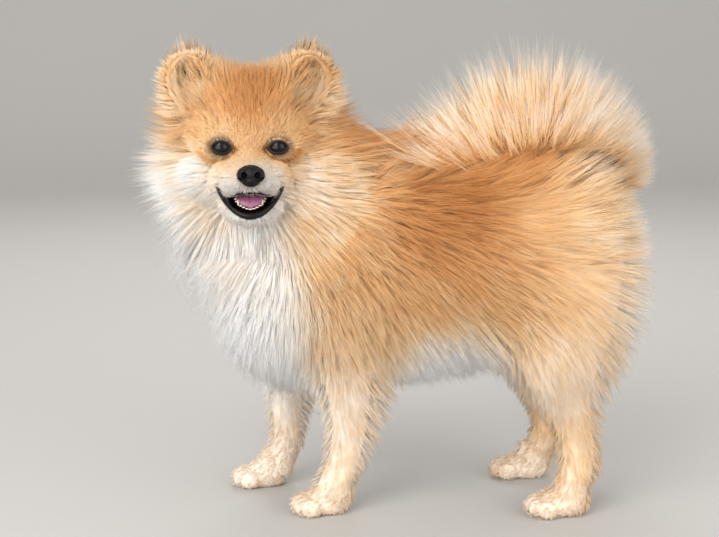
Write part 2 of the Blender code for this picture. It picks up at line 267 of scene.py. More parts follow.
def join(items):
    together = bmesh.new()
    for item in items:
        together.from_mesh(item.data)
    mesh = bpy.data.meshes.new("form")
    together.to_mesh(mesh)
    together.free()
    drop(*items)
    return new_piece("form", mesh)


def smooth(piece, rounds):
    modifier = piece.modifiers.new("smooth", "SMOOTH")
    modifier.factor = 0.5
    modifier.iterations = rounds
    apply_modifiers(piece)


def fuse(items, voxel, rounds):
    """The items as one rounded body."""
    body = join(items)
    remesh = body.modifiers.new("remesh", "REMESH")
    remesh.mode = "VOXEL"
    remesh.voxel_size = voxel
    smooth(body, rounds)
    return body


def boolean(item, cutter, operation):
    cut = item.modifiers.new("cut", "BOOLEAN")
    cut.operation = operation
    cut.solver = "EXACT"
    cut.object = cutter
    apply_modifiers(item)
    drop(cutter)


def finish_form(piece, name, material, slot, *nodes):
    """Names a finished form, gives it its material and puts it on the dog."""
    piece.name = name
    piece.data.name = name
    piece.data.materials.clear()
    piece.data.materials.append(material)
    piece.data.shade_smooth()
    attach(piece, "root")
    if nodes:
        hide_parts(*nodes)
    return piece


def points_of(mesh, what="vertices", value="co"):
    items = getattr(mesh, what)
    out = np.zeros(len(items) * 3, np.float32)
    items.foreach_get(value, out)
    return out.reshape(-1, 3).astype(float)


# Shader making


class Socket:
    """A number in a shader that takes part in Python arithmetic."""

    def __init__(self, shading, link):
        self.shading = shading
        self.link = link

    def _math(self, operation, first, second=None):
        return self.shading.node("ShaderNodeMath", {"operation": operation}, {0: first, 1: second})

    def __add__(self, other):
        return self._math("ADD", self, other)

    def __sub__(self, other):
        return self._math("SUBTRACT", self, other)

    def __rsub__(self, other):
        return self._math("SUBTRACT", other, self)

    def __mul__(self, other):
        return self._math("MULTIPLY", self, other)

    def __pow__(self, other):
        return self._math("POWER", self, other)

    __radd__ = __add__
    __rmul__ = __mul__


class Shading:
    """The node tree of one new material, with its Principled shader."""

    def __init__(self, name, **fixed):
        self.material = bpy.data.materials.new(name)
        self.material.use_nodes = True
        self.tree = self.material.node_tree
        self.shader = self.tree.nodes["Principled BSDF"]
        for socket, value in fixed.items():
            self.shader.inputs[socket.replace("_", " ").title().replace("Ior", "IOR")].default_value = value

    def node(self, kind, settings=None, inputs=None, output=0):
        made = self.tree.nodes.new(kind)
        for setting, value in (settings or {}).items():
            setattr(made, setting, value)
        for name, value in (inputs or {}).items():
            if value is None:
                continue
            if isinstance(value, Socket):
                self.tree.links.new(value.link, made.inputs[name])
            else:
                made.inputs[name].default_value = value
        return Socket(self, made.outputs[output])

    def attribute(self, name):
        return self.node("ShaderNodeAttribute", {"attribute_name": name}, output="Fac")

    def place(self):
        return self.node("ShaderNodeTexCoord", output="Object")

    def noise(self, scale, detail=2.0):
        inputs = {"Vector": self.place(), "Scale": scale, "Detail": detail}
        return self.node("ShaderNodeTexNoise", None, inputs, "Fac")

    def mix(self, factor, first, second):
        """Colours mixed by a factor from 0 to 1."""
        settings = {"data_type": "RGBA", "clamp_factor": True}
        return self.node("ShaderNodeMix", settings, {0: factor, 6: first, 7: second}, 2)

    def ramp(self, factor, stops):
        made = self.node("ShaderNodeValToRGB", None, {0: factor})
        elements = made.link.node.color_ramp.elements
        while len(elements) < len(stops):
            elements.new(0.5)
        for element, (position, colour) in zip(elements, stops):
            element.position = position
            element.color = colour
        return made

    def bump(self, height, distance):
        inputs = {"Height": height, "Distance": distance, "Strength": 1.0}
        self.feed("Normal", self.node("ShaderNodeBump", None, inputs, "Normal"))

    def feed(self, name, socket):
        self.tree.links.new(socket.link, self.shader.inputs[name])


def linear(red, green, blue):
    """A display colour from 0 to 255 as the linear colour a shader takes."""
    parts = []
    for value in (red, green, blue):
        share = value / 255
        parts.append(share / 12.92 if share <= 0.04045 else ((share + 0.055) / 1.055) ** 2.4)
    return (*parts, 1.0)


def opaque(colour, share=1.0):
    """A colour setting as a shader takes it, darker or lighter by a share."""
    return (*(min(1.0, value * share) for value in colour), 1.0)


# Scale and strength of the clouds that vary the coat's tone
TONE_CLOUDS = ((42.0, 0.24), (15.0, 0.22), (190.0, 0.16))

# How far the tone varies from tuft to tuft and from strand to strand
TUFT_VARIETY = 0.10
STRAND_VARIETY = 0.07

# How late along a strand its tone fades, how much soot is gone at its tip, and how dark a dark strand is
FADE_POWER = 1.6
SOOT_LOSS = 0.6
DARK_STRAND = 0.07


def hair_shading(name, settings, roughness):
    """The coat's markings, with their painted shade and painted light, shared by the skin and every tuft."""
    shading = Shading(name, roughness=roughness, specular_ior_level=0.15)
    along = shading.attribute("along")
    tuft = shading.attribute("tuft")
    strand = shading.attribute("strand")
    tone = shading.attribute("tone") - shading.attribute("fade") * (along**FADE_POWER)
    tone = tone + (tuft - 0.5) * TUFT_VARIETY + (strand - 0.5) * STRAND_VARIETY
    for scale, strength in TONE_CLOUDS:
        tone = tone + (shading.noise(scale) - 0.5) * strength
    colours = [settings.white, settings.cream, settings.apricot, settings.orange, settings.rust]
    stops = [(index / 4, opaque(colour)) for index, colour in enumerate(colours)]
    colour = shading.ramp(tone, stops)
    # Soot darkens the roots of dark hair, and stands as painted shade in the ears' hollow, round the eyes
    # and on the paws
    soot = shading.attribute("soot") * (1.0 - along * SOOT_LOSS) + (strand**3) * DARK_STRAND
    return shading, shading.mix(soot, colour, opaque(settings.soot))


# Settings


def colour_setting(name, description, *display):
    return bpy.props.FloatVectorProperty(
        name=name,
        description=description,
        subtype="COLOR",
        size=3,
        min=0.0,
        max=1.0,
        default=linear(*display)[:3],
    )


def number_setting(name, description, default, **more):
    return bpy.props.FloatProperty(name=name, description=description, default=default, **more)


def length_setting(name, description, default):
    return number_setting(name, description, default, unit="LENGTH", precision=4)


class PomeranianCoat(bpy.types.PropertyGroup):
    """Colours and thickness of the coat."""

    white: colour_setting("White", "Chest, belly and muzzle", 254, 254, 254)
    cream: colour_setting("Cream", "Cheeks, legs and the tips of the mane", 250, 235, 217)
    apricot: colour_setting("Apricot", "Light orange between cream and orange", 240, 200, 152)
    orange: colour_setting("Orange", "Forehead, shoulders and rump", 220, 160, 102)
    rust: colour_setting("Rust", "Deepest orange, behind the mane", 188, 120, 64)
    # Soot is also the colour of the painted shade in the ears' hollow, round the eyes and on the paws
    soot: colour_setting("Soot", "Dark hair bases and skin shades", 70, 48, 36)
    share: number_setting("Share", "Share of all the tufts", 1.0, min=0.01, max=1.0, subtype="FACTOR")
    seed: bpy.props.IntProperty(name="Seed", description="Seed of the tufts' places and turns", default=7)


class PomeranianSkin(bpy.types.PropertyGroup):
    """Fineness of the skin, and the colour of the mouth's inside."""

    body_voxel: length_setting("Body Detail", "Size of the body's faces", 0.0030)
    head_voxel: length_setting("Head Detail", "Size of the faces of the head and the paws", 0.0012)
    # The mouth's inside is painted dark: its own dark skin, with painted shade for the mouth's hollow
    wet: colour_setting("Mouth", "Inside of the mouth", 34, 18, 19)


class PomeranianFace(bpy.types.PropertyGroup):
    """Colours and sizes of the eyes, nose and mouth."""

    iris: colour_setting("Iris", "Ring round the pupil", 26, 15, 10)
    rim: colour_setting("Lid Rim", "Edge of the eyelids", 20, 14, 14)
    leather: colour_setting("Leather", "Nose and lips", 9, 8, 9)
    tongue: colour_setting("Tongue", "Top of the tongue", 168, 98, 130)
    tooth: colour_setting("Tooth", "Tooth enamel", 232, 226, 214)
    horn: colour_setting("Claw", "Claws", 196, 176, 156)
    lid_width: length_setting("Eye Width", "Width of the opening between the lids", 0.0128)
    lid_height: length_setting("Eye Height", "Height of the opening between the lids", 0.0090)


class PomeranianStage(bpy.types.PropertyGroup):
    """Floor, backdrop and lights."""

    floor: colour_setting("Floor", "Floor and backdrop", 184, 182, 179)
    key_power: number_setting("Key Light", "Power of the main light in watts", 21.0)
    fill_power: number_setting("Fill Light", "Power that the three soft lights share in watts", 29.0)
    sky: number_setting("Sky", "Strength of the light from all round", 0.94)


# Stage


class POMERANIAN_OT_stage(bpy.types.Operator):
    """Set up the floor, the backdrop, the lights and the camera"""

    bl_idname = "pomeranian.stage"
    bl_label = "Stage"

    def execute(self, context):
        settings = context.scene.pomeranian_stage
        self.make_floor(settings)
        self.make_lights(context, settings)
        self.make_camera(context)
        context.scene.view_settings.view_transform = "Standard"
        return {"FINISHED"}

    def make_floor(self, settings):
        """A floor that curves up into a wall far behind the dog."""
        reach, wall, bend, height = 9.0, -4.0, 1.5, 6.0
        profile = [(reach, 0.0)]
        for step in range(13):
            turn = math.pi / 2 * step / 12
            profile.append((wall + bend - bend * math.sin(turn), bend - bend * math.cos(turn)))
        profile.append((wall, height))

        def build(shape):
            rows = [[shape.verts.new((x, y, z)) for x, z in profile] for y in (-reach, reach)]
            for index in range(len(profile) - 1):
                shape.faces.new((rows[0][index], rows[1][index], rows[1][index + 1], rows[0][index + 1]))

        floor = new_form(build)
        for face in floor.data.polygons:
            if face.normal.z < 0:
                floor.data.flip_normals()
                break
        floor.name = "floor"
        floor.data.shade_smooth()
        shading = Shading("studio floor", roughness=0.75)
        cloud = shading.noise(1.4)
        shading.feed("Base Color", shading.mix(cloud, opaque(settings.floor, 0.96), opaque(settings.floor)))
        floor.data.materials.append(shading.material)

    def make_lights(self, context, settings):
        target = Vector((0.0, 0.0, 0.18))
        # Name, place, width of the disk, power and colour
        rows = (
            ("key", Vector((1.5, -0.95, 1.65)), 1.3, settings.key_power, (1.0, 0.98, 0.95)),
            ("front", Vector((1.7, -1.3, 0.35)), 2.2, settings.fill_power * 1.3, (1.0, 0.99, 0.97)),
            ("side", Vector((1.6, 1.4, 0.8)), 2.0, settings.fill_power * 0.6, (0.97, 0.98, 1.0)),
            ("back", Vector((-1.5, 0.1, 1.5)), 1.2, settings.fill_power * 0.4, (1.0, 1.0, 1.0)),
        )
        for name, place, size, power, colour in rows:
            data = bpy.data.lights.new(name, "AREA")
            data.shape = "DISK"
            data.size = size
            data.energy = power
            data.color = colour
            light = bpy.data.objects.new(name, data)
            light.location = place
            light.rotation_euler = (target - place).to_track_quat("-Z", "Y").to_euler()
            context.scene.collection.objects.link(light)
        world = bpy.data.worlds.new("studio")
        world.use_nodes = True
        background = world.node_tree.nodes["Background"]
        background.inputs["Color"].default_value = (1.0, 0.985, 0.96, 1.0)
        background.inputs["Strength"].default_value = settings.sky
        context.scene.world = world

    def make_camera(self, context):
        data = bpy.data.cameras.new("camera")
        data.sensor_width = SENSOR_WIDTH
        data.lens = FOCAL_PIXELS / PHOTO_WIDTH * SENSOR_WIDTH
        data.clip_start = 0.01
        camera = bpy.data.objects.new("camera", data)
        back = Vector((math.sin(CAMERA_AZIMUTH), -math.cos(CAMERA_AZIMUTH), 0.0))
        right = Vector((math.cos(CAMERA_AZIMUTH), math.sin(CAMERA_AZIMUTH), 0.0))
        look = -back * math.cos(CAMERA_PITCH) - Vector((0, 0, math.sin(CAMERA_PITCH)))
        upward = right.cross(look)
        turn = Matrix((right, upward, -look)).transposed()
        camera.matrix_world = Matrix.Translation(CAMERA_PLACE) @ turn.to_4x4()
        context.scene.collection.objects.link(camera)
        context.scene.camera = camera


# Skin

TAIL_CORE = (
    (0.000, 0.140, 0.240),
    (0.000, 0.157, 0.260),
    (0.000, 0.146, 0.280),
    (0.000, 0.112, 0.285),
    (0.000, 0.072, 0.276),
    (0.000, 0.030, 0.268),
)

# Legs under their coat: x, y, height, half width across the body and along it
FORELEG_LEFT = (
    (0.036, -0.066, 0.180, 0.022, 0.034),
    (0.036, -0.062, 0.130, 0.0175, 0.0240),
    (0.034, -0.059, 0.104, 0.0145, 0.0185),
    (0.033, -0.0575, 0.080, 0.0122, 0.0150),
    (0.032, -0.0590, 0.058, 0.0112, 0.0130),
    (0.031, -0.0630, 0.038, 0.0110, 0.0125),
    (0.031, -0.0690, 0.022, 0.0118, 0.0140),
    (0.031, -0.0705, 0.008, 0.0110, 0.0130),
)
FORELEG_RIGHT = (
    (-0.040, -0.082, 0.170, 0.024, 0.034),
    (-0.043, -0.092, 0.125, 0.0180, 0.0220),
    (-0.045, -0.100, 0.090, 0.0135, 0.0155),
    (-0.045, -0.1025, 0.064, 0.0115, 0.0125),
    (-0.045, -0.1030, 0.042, 0.0108, 0.0110),
    (-0.045, -0.1080, 0.024, 0.0115, 0.0125),
    (-0.045, -0.1120, 0.008, 0.0110, 0.0130),
)
HINDLEG_LEFT = (
    (0.042, 0.108, 0.200, 0.026, 0.046),
    (0.048, 0.106, 0.160, 0.027, 0.044),
    (0.053, 0.104, 0.130, 0.024, 0.036),
    (0.055, 0.104, 0.108, 0.0190, 0.0270),
    (0.055, 0.108, 0.088, 0.0150, 0.0200),
    (0.055, 0.1145, 0.070, 0.0122, 0.0150),
    (0.055, 0.1185, 0.054, 0.0112, 0.0132),
    (0.055, 0.1190, 0.036, 0.0110, 0.0128),
    (0.055, 0.1145, 0.020, 0.0115, 0.0130),
    (0.055, 0.1120, 0.008, 0.0108, 0.0120),
)
HINDLEG_RIGHT = (
    (-0.042, 0.108, 0.200, 0.026, 0.046),
    (-0.048, 0.106, 0.160, 0.027, 0.043),
    (-0.053, 0.104, 0.128, 0.023, 0.034),
    (-0.053, 0.106, 0.102, 0.0175, 0.0240),
    (-0.050, 0.112, 0.080, 0.0140, 0.0175),
    (-0.047, 0.1180, 0.060, 0.0115, 0.0138),
    (-0.046, 0.1205, 0.046, 0.0110, 0.0125),
    (-0.046, 0.1170, 0.033, 0.0110, 0.0122),
    (-0.046, 0.1100, 0.020, 0.0115, 0.0130),
    (-0.046, 0.1065, 0.008, 0.0108, 0.0120),
)
# Paws: centre over the floor, turn about the vertical in degrees, and half length
PAW_PLACES = (
    ((0.031, -0.0775), 8.0, 0.0225),
    ((-0.045, -0.1225), 6.0, 0.0225),
    ((0.054, 0.1065), 6.0, 0.0245),
    ((-0.045, 0.0985), -4.0, 0.0245),
)
# Toes: metres across the paw, and share of its half length
TOES = ((-0.0113, -0.58), (-0.0042, -0.79), (0.0042, -0.79), (0.0113, -0.58))

# Height of the skin's soles over the floor, and how far above them the skin stays bare
SOLE_HEIGHT = 0.0006
SOLE_MARGIN = 0.0006

# The open mouth seen from the front, in the head's millimetres: half its width at the corners, the
# height of the corners, how far its lower edge hangs below them, and how fast it narrows
MOUTH_HALF_WIDTH = 24.5
MOUTH_TOP = -30.0
MOUTH_DEPTH = 21.6
MOUTH_POWER = 1.7


def lip_line(left):
    """Height of the upper lip's edge."""
    share = abs(left) / MOUTH_HALF_WIDTH
    return -32.5 - 1.9 * math.exp(-(((abs(left) - 13) / 5) ** 2)) + 3.6 * share**4


def lip_forward(left):
    """How far forward the upper lip's edge lies."""
    share = min(1.0, abs(left) / MOUTH_HALF_WIDTH)
    return 9.5 + 23.0 * (1 - share**1.6)


def mouth_curve(turn, half, depth):
    """A point of the mouth's lower edge, which narrows faster than an ellipse."""
    return half * math.cos(turn), -depth * abs(math.sin(turn)) ** MOUTH_POWER


def mouth_outline(scale):
    """The opening inside the lips, from the left corner over the top and back along the bottom."""
    half = MOUTH_HALF_WIDTH - 2.5
    count = 40
    points = []
    for index in range(count):
        turn = 2 * math.pi * index / count
        left, low = mouth_curve(turn, half, MOUTH_DEPTH - 5.0)
        up = lip_line(left) + 0.4 if math.sin(turn) >= 0 else MOUTH_TOP - 0.6 + low
        points.append((left * scale, (up + 36) * scale - 36))
    return points


def mouth_cutter():
    rows = ((-4, 0.30), (2, 0.62), (10, 0.86), (20, 1.0), (32, 1.0), (52, 1.05))
    loops = [[in_head(left, forward, up) for left, up in mouth_outline(scale)] for forward, scale in rows]
    return looped(loops)


def ear_form(side):
    """A small upright ear, cupped in front, with its tip bent forward."""
    loops = []
    # Height, half width, place forward, depth of the cup, and distance from the head's middle
    rows = (
        (20, 11.0, -34, 8, 33),
        (30, 15.0, -32, 10, 38),
        (40, 17.0, -30, 12, 43),
        (50, 17.5, -27, 12, 44.5),
        (58, 15.5, -24, 11, 45),
        (64, 11.5, -21.5, 8, 45),
        (67, 7.5, -19.5, 5, 45),
        (68.5, 4.0, -18.5, 3, 45),
    )
    for up, half, forward, depth, middle in smooth_rows(rows, 4):
        centre = side * middle
        loop = []
        for index in range(12):
            turn = math.pi * index / 11
            loop.append(in_head(centre + half * math.cos(turn), forward - depth * math.sin(turn), up))
        for index in range(12):
            turn = math.pi * (11 - index) / 11
            inner = max(0.5, half - 4.4) * math.cos(turn)
            loop.append(in_head(centre + inner, forward + 1.5 - max(0.0, depth - 3.8) * math.sin(turn), up))
        loops.append(loop)
    return looped(loops)


def head_forms():
    # Skull, forehead, muzzle and lower jaw
    forms = [
        head_ball(0, -28, 14, (33, 32, 33)),
        head_ball(0, -2, 6, (15, 10, 17)),
        head_loft(
            (
                (-14, -9, 21, 17),
                (-4, -12, 19.5, 16),
                (6, -16, 17, 13.5),
                (16, -19.5, 15, 11.0),
                (26, -21.5, 12, 9.8),
                (33, -22.5, 8.5, 8.0),
            )
        ),
        head_loft(
            (
                (-22, -32, 19, 12),
                (-8, -35, 19, 12),
                (6, -39, 19, 11),
                (15, -42, 16.5, 9),
                (22, -44.5, 12.5, 7),
                (26.5, -46, 8, 4.6),
            )
        ),
    ]
    # Eye socket, lip pad, cheek, corner of the jaw, brow, temple and the slope beside the muzzle
    pairs = (
        (20.5, -4.5, 1, (14.5, 10.5, 13.5)),
        (9.8, 18, -26.5, (9.6, 13, 8.2)),
        (23, -20, -16, (14, 17, 17)),
        (16, -6, -29, (10, 15, 11)),
        (11, -2, 10, (10, 8.5, 12)),
        (26, -10, 8, (12, 12, 14)),
        (17, 4, -20, (9, 11, 10)),
    )
    for side in (-1, 1):
        forms += [head_ball(side * left, forward, up, radii) for left, forward, up, radii in pairs]
        forms.append(ear_form(side))
    return forms


def paw_forms(place, turn_degrees, half_length):
    frame_of_paw = Matrix.Translation((*place, 0)) @ Matrix.Rotation(math.radians(turn_degrees), 4, "Z")
    turn = frame_of_paw.to_3x3()

    def part(across, along, up, radii):
        return ball(frame_of_paw @ Vector((across, along, up)) + SHIFT, radii, turn, 20, 14)

    forms = [
        part(0, 0.003, 0.009, (0.0138, half_length - 0.006, 0.0120)),
        part(0, 0.009, 0.018, (0.0120, 0.0125, 0.0140)),
        part(0, -0.004, 0.0045, (0.0125, half_length - 0.008, 0.0050)),
    ]
    for across, along in TOES:
        forms.append(part(across, half_length * along, 0.0070, (0.0047, 0.0080, 0.0068)))
    return forms


def lid_forms():
    """Domes of skin over the eyeballs, for the lids to be cut from."""
    return [ball(centre, (EYE_RADIUS + LID_THICKNESS,) * 3, HEAD_AXES) for centre in EYES.values()]


def almond(settings, sign, index, count):
    """One point of the opening between the lids: metres to the left and up of the eye's middle."""
    turn = 2 * math.pi * index / count
    across = settings.lid_width / 2 * math.cos(turn)
    narrow = 0.95 if math.sin(turn) < 0 else 1.0
    up = settings.lid_height / 2 * math.copysign(abs(math.sin(turn)) ** 1.15, math.sin(turn)) * narrow
    return across * sign, up + 0.0004 * math.cos(turn)


def lid_cutter(settings, centre, sign):
    """The opening between the lids, carried straight out of the face."""
    places = [almond(settings, sign, index, 40) for index in range(40)]
    loops = []
    for depth in (0.003, 0.006, 0.010, 0.020):
        out = HEAD_FORWARD * depth
        loops.append([centre + HEAD_LEFT * across + HEAD_UP * up + out for across, up in places])
    return looped(loops)


def body_forms():
    # Place along the body, height of the centre, half width and half height
    rows = (
        (-0.118, 0.196, 0.034, 0.046),
        (-0.105, 0.195, 0.046, 0.060),
        (-0.050, 0.190, 0.061, 0.075),
        (0.000, 0.190, 0.063, 0.070),
        (0.050, 0.194, 0.061, 0.063),
        (0.100, 0.200, 0.060, 0.061),
        (0.140, 0.200, 0.048, 0.053),
        (0.162, 0.198, 0.026, 0.033),
    )
    rings = []
    for y, z, width, height in smooth_rows(rows, 4):
        rings.append((at(0, y, z), Vector((width, 0, 0)), Vector((0, 0, height))))
    base, top = at(0, -0.072, 0.215), in_head(0, -38, -8)
    way = (top - base).normalized()
    side = way.cross(Vector((0, 0, 1))).normalized()
    other = side.cross(way)
    widths = [(t, 0.050 - 0.012 * t) for t in (0, 0.4, 0.8, 1)]
    neck = loft([(base.lerp(top, t), side * width, other * width) for t, width in widths])
    core = [Vector(row) for row in smooth_rows(TAIL_CORE, 5)]
    radii = [0.0095 - 0.0055 * index / (len(core) - 1) for index in range(len(core))]
    tail = tube([point + SHIFT for point in core], radii, flat_way=Vector((1, 0, 0)))
    forms = [loft(rings), neck, tail, ball(at(0, -0.105, 0.182), (0.050, 0.045, 0.060))]
    forms += [column(rows) for rows in (FORELEG_LEFT, FORELEG_RIGHT, HINDLEG_LEFT, HINDLEG_RIGHT)]
    return forms


def smoothstep(value, low, high):
    share = np.clip((value - low) / (high - low), 0, 1)
    return share * share * (3 - 2 * share)


def unit(vectors):
    return vectors / np.maximum(np.linalg.norm(vectors, axis=-1, keepdims=True), 1e-9)


def put_attribute(mesh, name, values):
    kind, key = ("FLOAT_VECTOR", "vector") if values.ndim == 2 else ("FLOAT", "value")
    attribute = mesh.attributes.get(name) or mesh.attributes.new(name, kind, "POINT")
    attribute.data.foreach_set(key, values.astype(np.float32).ravel())


def numbers_of(mesh, name):
    out = np.zeros(len(mesh.vertices), np.float32)
    mesh.attributes[name].data.foreach_get("value", out)
    return out


class Comb:
    """How the coat lies and looks at listed points, and everywhere between them."""

    def __init__(self, rows, spread):
        self.areas = [row[0] for row in rows for _ in (0, 1)]
        both = [(row[1], row[2], row[3:]) for row in rows]
        self.places = np.array([self.sides(place, side) for place, _, _ in both for side in (1, -1)], float)
        self.lies = np.array([self.sides(lie, side) for _, lie, _ in both for side in (1, -1)], float)
        self.values = np.array([values for _, _, values in both for _ in (0, 1)], float)
        self.spread = spread

    @staticmethod
    def sides(point, side):
        """A point or a direction of the left side, or the same on the right."""
        return (point[0] * side, point[1], point[2])

    def read(self, points):
        """Directions, the other columns, and the area whose point weighs most."""
        square = ((points[:, None, :] - self.places[None]) ** 2).sum(-1)
        weights = np.exp(-(square - square.min(1, keepdims=True)) / (2 * self.spread**2))
        weights /= weights.sum(1, keepdims=True)
        return unit(weights @ unit(self.lies)), weights @ self.values, weights.argmax(1)


# Area, place and lie in the head's millimetres, lift off the skin, longest hair in millimetres,
# strand width in millimetres, tone from white to rust, fade of the tone at the tips, soot: dark hair, with
# painted shade in hollows
HEAD_COMB = Comb(
    (
        ("face", (0, 27, -12), (0, -1.0, 0.2), 0.30, 3.0, 0.30, 0.44, 0.0, 0.34),
        ("face", (0, 12, -6), (0, -0.9, 0.5), 0.35, 4.0, 0.32, 0.58, 0.0, 0.24),
        ("face", (9, 22, -16), (0.6, -0.8, -0.1), 0.35, 4.0, 0.30, 0.22, 0.0, 0.2),
        ("face", (5, 32, -30), (0.2, -0.5, -0.8), 0.25, 3.0, 0.28, 0.10, 0.0, 1.0),
        ("face", (12, 26, -29), (0.7, -0.7, -0.3), 0.35, 4.0, 0.30, 0.06, 0.0, 0.14),
        ("face", (17, 14, -24), (0.8, -0.6, -0.1), 0.40, 8.0, 0.34, 0.16, 0.0, 0.14),
        ("face", (14, 8, -14), (0.8, -0.6, -0.2), 0.40, 6.0, 0.34, 0.42, 0.0, 0.14),
        ("face", (0, 25, -53), (0, -0.4, -1.0), 0.35, 8.0, 0.34, 0.00, 0.0, 0.04),
        ("cheeks", (14, 12, -50), (0.5, -0.3, -0.9), 0.50, 16, 0.40, 0.14, -0.05, 0.0),
        ("cheeks", (24, 4, -30), (0.85, -0.3, -0.4), 0.50, 16, 0.40, 0.20, -0.15, 0.0),
        ("face", (0, 6, 4), (0, -0.3, 1.0), 0.30, 4.5, 0.33, 0.74, 0.0, 0.17),
        ("face", (0, 4, 16), (0, -0.4, 1.0), 0.40, 9.0, 0.38, 0.88, 0.0, 0.22),
        ("cheeks", (0, -3, 30), (0, -0.4, 1.0), 0.55, 15, 0.42, 0.86, 0.06, 0.2),
        ("face", (9, 6, 10), (0.15, -0.3, 1.0), 0.35, 5.0, 0.33, 0.36, 0.0, 0.1),
        ("face", (21, 5, 12), (0.45, -0.2, 0.9), 0.35, 5.0, 0.33, 0.58, 0.0, 0.06),
        ("cheeks", (19, -4, 27), (0.35, -0.4, 0.9), 0.55, 15, 0.42, 0.80, 0.06, 0.0),
        ("face", (33, -8, 3), (0.95, -0.4, 0.15), 0.45, 10.0, 0.38, 0.68, 0.0, 0.0),
        ("face", (22, 5, -11), (0.7, -0.6, -0.4), 0.30, 4.0, 0.32, 0.70, 0.0, 0.18),
        ("cheeks", (31, -4, -14), (0.9, -0.4, -0.2), 0.50, 16, 0.42, 0.24, -0.15, 0.0),
        ("cheeks", (38, -16, -20), (0.95, -0.35, -0.15), 0.75, 34, 0.50, 0.22, -0.4, 0.0),
        ("cheeks", (28, -8, -38), (0.75, -0.25, -0.65), 0.75, 36, 0.50, 0.26, -0.3, 0.0),
        ("cheeks", (36, -20, 14), (0.90, -0.35, 0.25), 0.70, 30, 0.48, 0.70, 0.10, 0.0),
        ("cheeks", (0, -24, 47), (0, -0.25, 1.0), 1.0, 42, 0.45, 0.82, 0.15, 0.3),
        ("cheeks", (17, -22, 44), (0.15, -0.1, 1.0), 1.0, 44, 0.45, 0.74, 0.25, 0.0),
        ("ears", (45, -19, 66), (0.1, -0.8, 0.8), 0.35, 6.0, 0.34, 0.60, 0.3, 0.0),
        ("ears", (60, -24, 50), (0.6, -0.8, 0.4), 0.40, 8.0, 0.34, 0.72, 0.3, 0.0),
        ("ears", (60, -34, 40), (0.9, -0.1, 0.4), 0.60, 26, 0.40, 0.44, 0.2, 0.0),
        ("ears", (46, -43, 60), (0.1, 0.0, 1), 0.5, 30, 0.38, -0.15, 0.0, 0.0),
        ("ears", (29, -24, 56), (-0.25, -0.4, 0.9), 0.80, 24, 0.40, 0.66, 0.25, 0.0),
        # The ears' hollow under the ridge: its soot is painted shade over the hollow's own orange
        ("ears", (44, -31, 50), (0.1, 0.3, 0.9), 0.50, 6, 0.36, 1.05, 0.1, 0.45),
        ("ears", (40, -32, 36), (0.5, 0.4, 0.7), 0.60, 12, 0.38, 0.80, 0.3, 0.3),
        ("ears", (40, -24, 26), (0.8, 0.2, 0.4), 0.60, 24, 0.42, 0.66, 0.3, 0.0),
        ("ears", (52, -26, 29), (1, -0.1, -0.15), 0.90, 26, 0.40, 0.34, 0.0, 0.0),
        ("ears", (46, -46, 50), (0.2, -0.5, 0.8), 0.60, 20, 0.45, 0.24, 0.3, 0.0),
        ("cheeks", (0, -12, -50), (0, -0.1, -1), 0.70, 36, 0.55, 0.08, 0.0, 0.0),
        ("ruff", (40, -48, -8), (1, -0.3, -0.1), 0.90, 90, 0.70, 0.86, 0.05, 0.0),
        ("ruff", (30, -48, -38), (0.7, -0.2, -0.7), 0.90, 90, 0.70, 0.74, 0.05, 0.0),
        ("ruff", (0, -44, -48), (0, -0.1, -1), 0.80, 80, 0.70, 0.34, 0.0, 0.0),
        ("ruff", (34, -52, 26), (0.8, -0.3, 0.6), 0.90, 85, 0.70, 0.72, 0.15, 0.0),
        ("ruff", (0, -66, 2), (0, -0.5, -0.85), 0.90, 60, 0.70, 0.80, 0.15, 0.0),
        ("ruff", (0, -60, 34), (0, -0.9, -0.1), 0.90, 60, 0.70, 0.80, 0.15, 0.0),
    ),
    8.5,
)

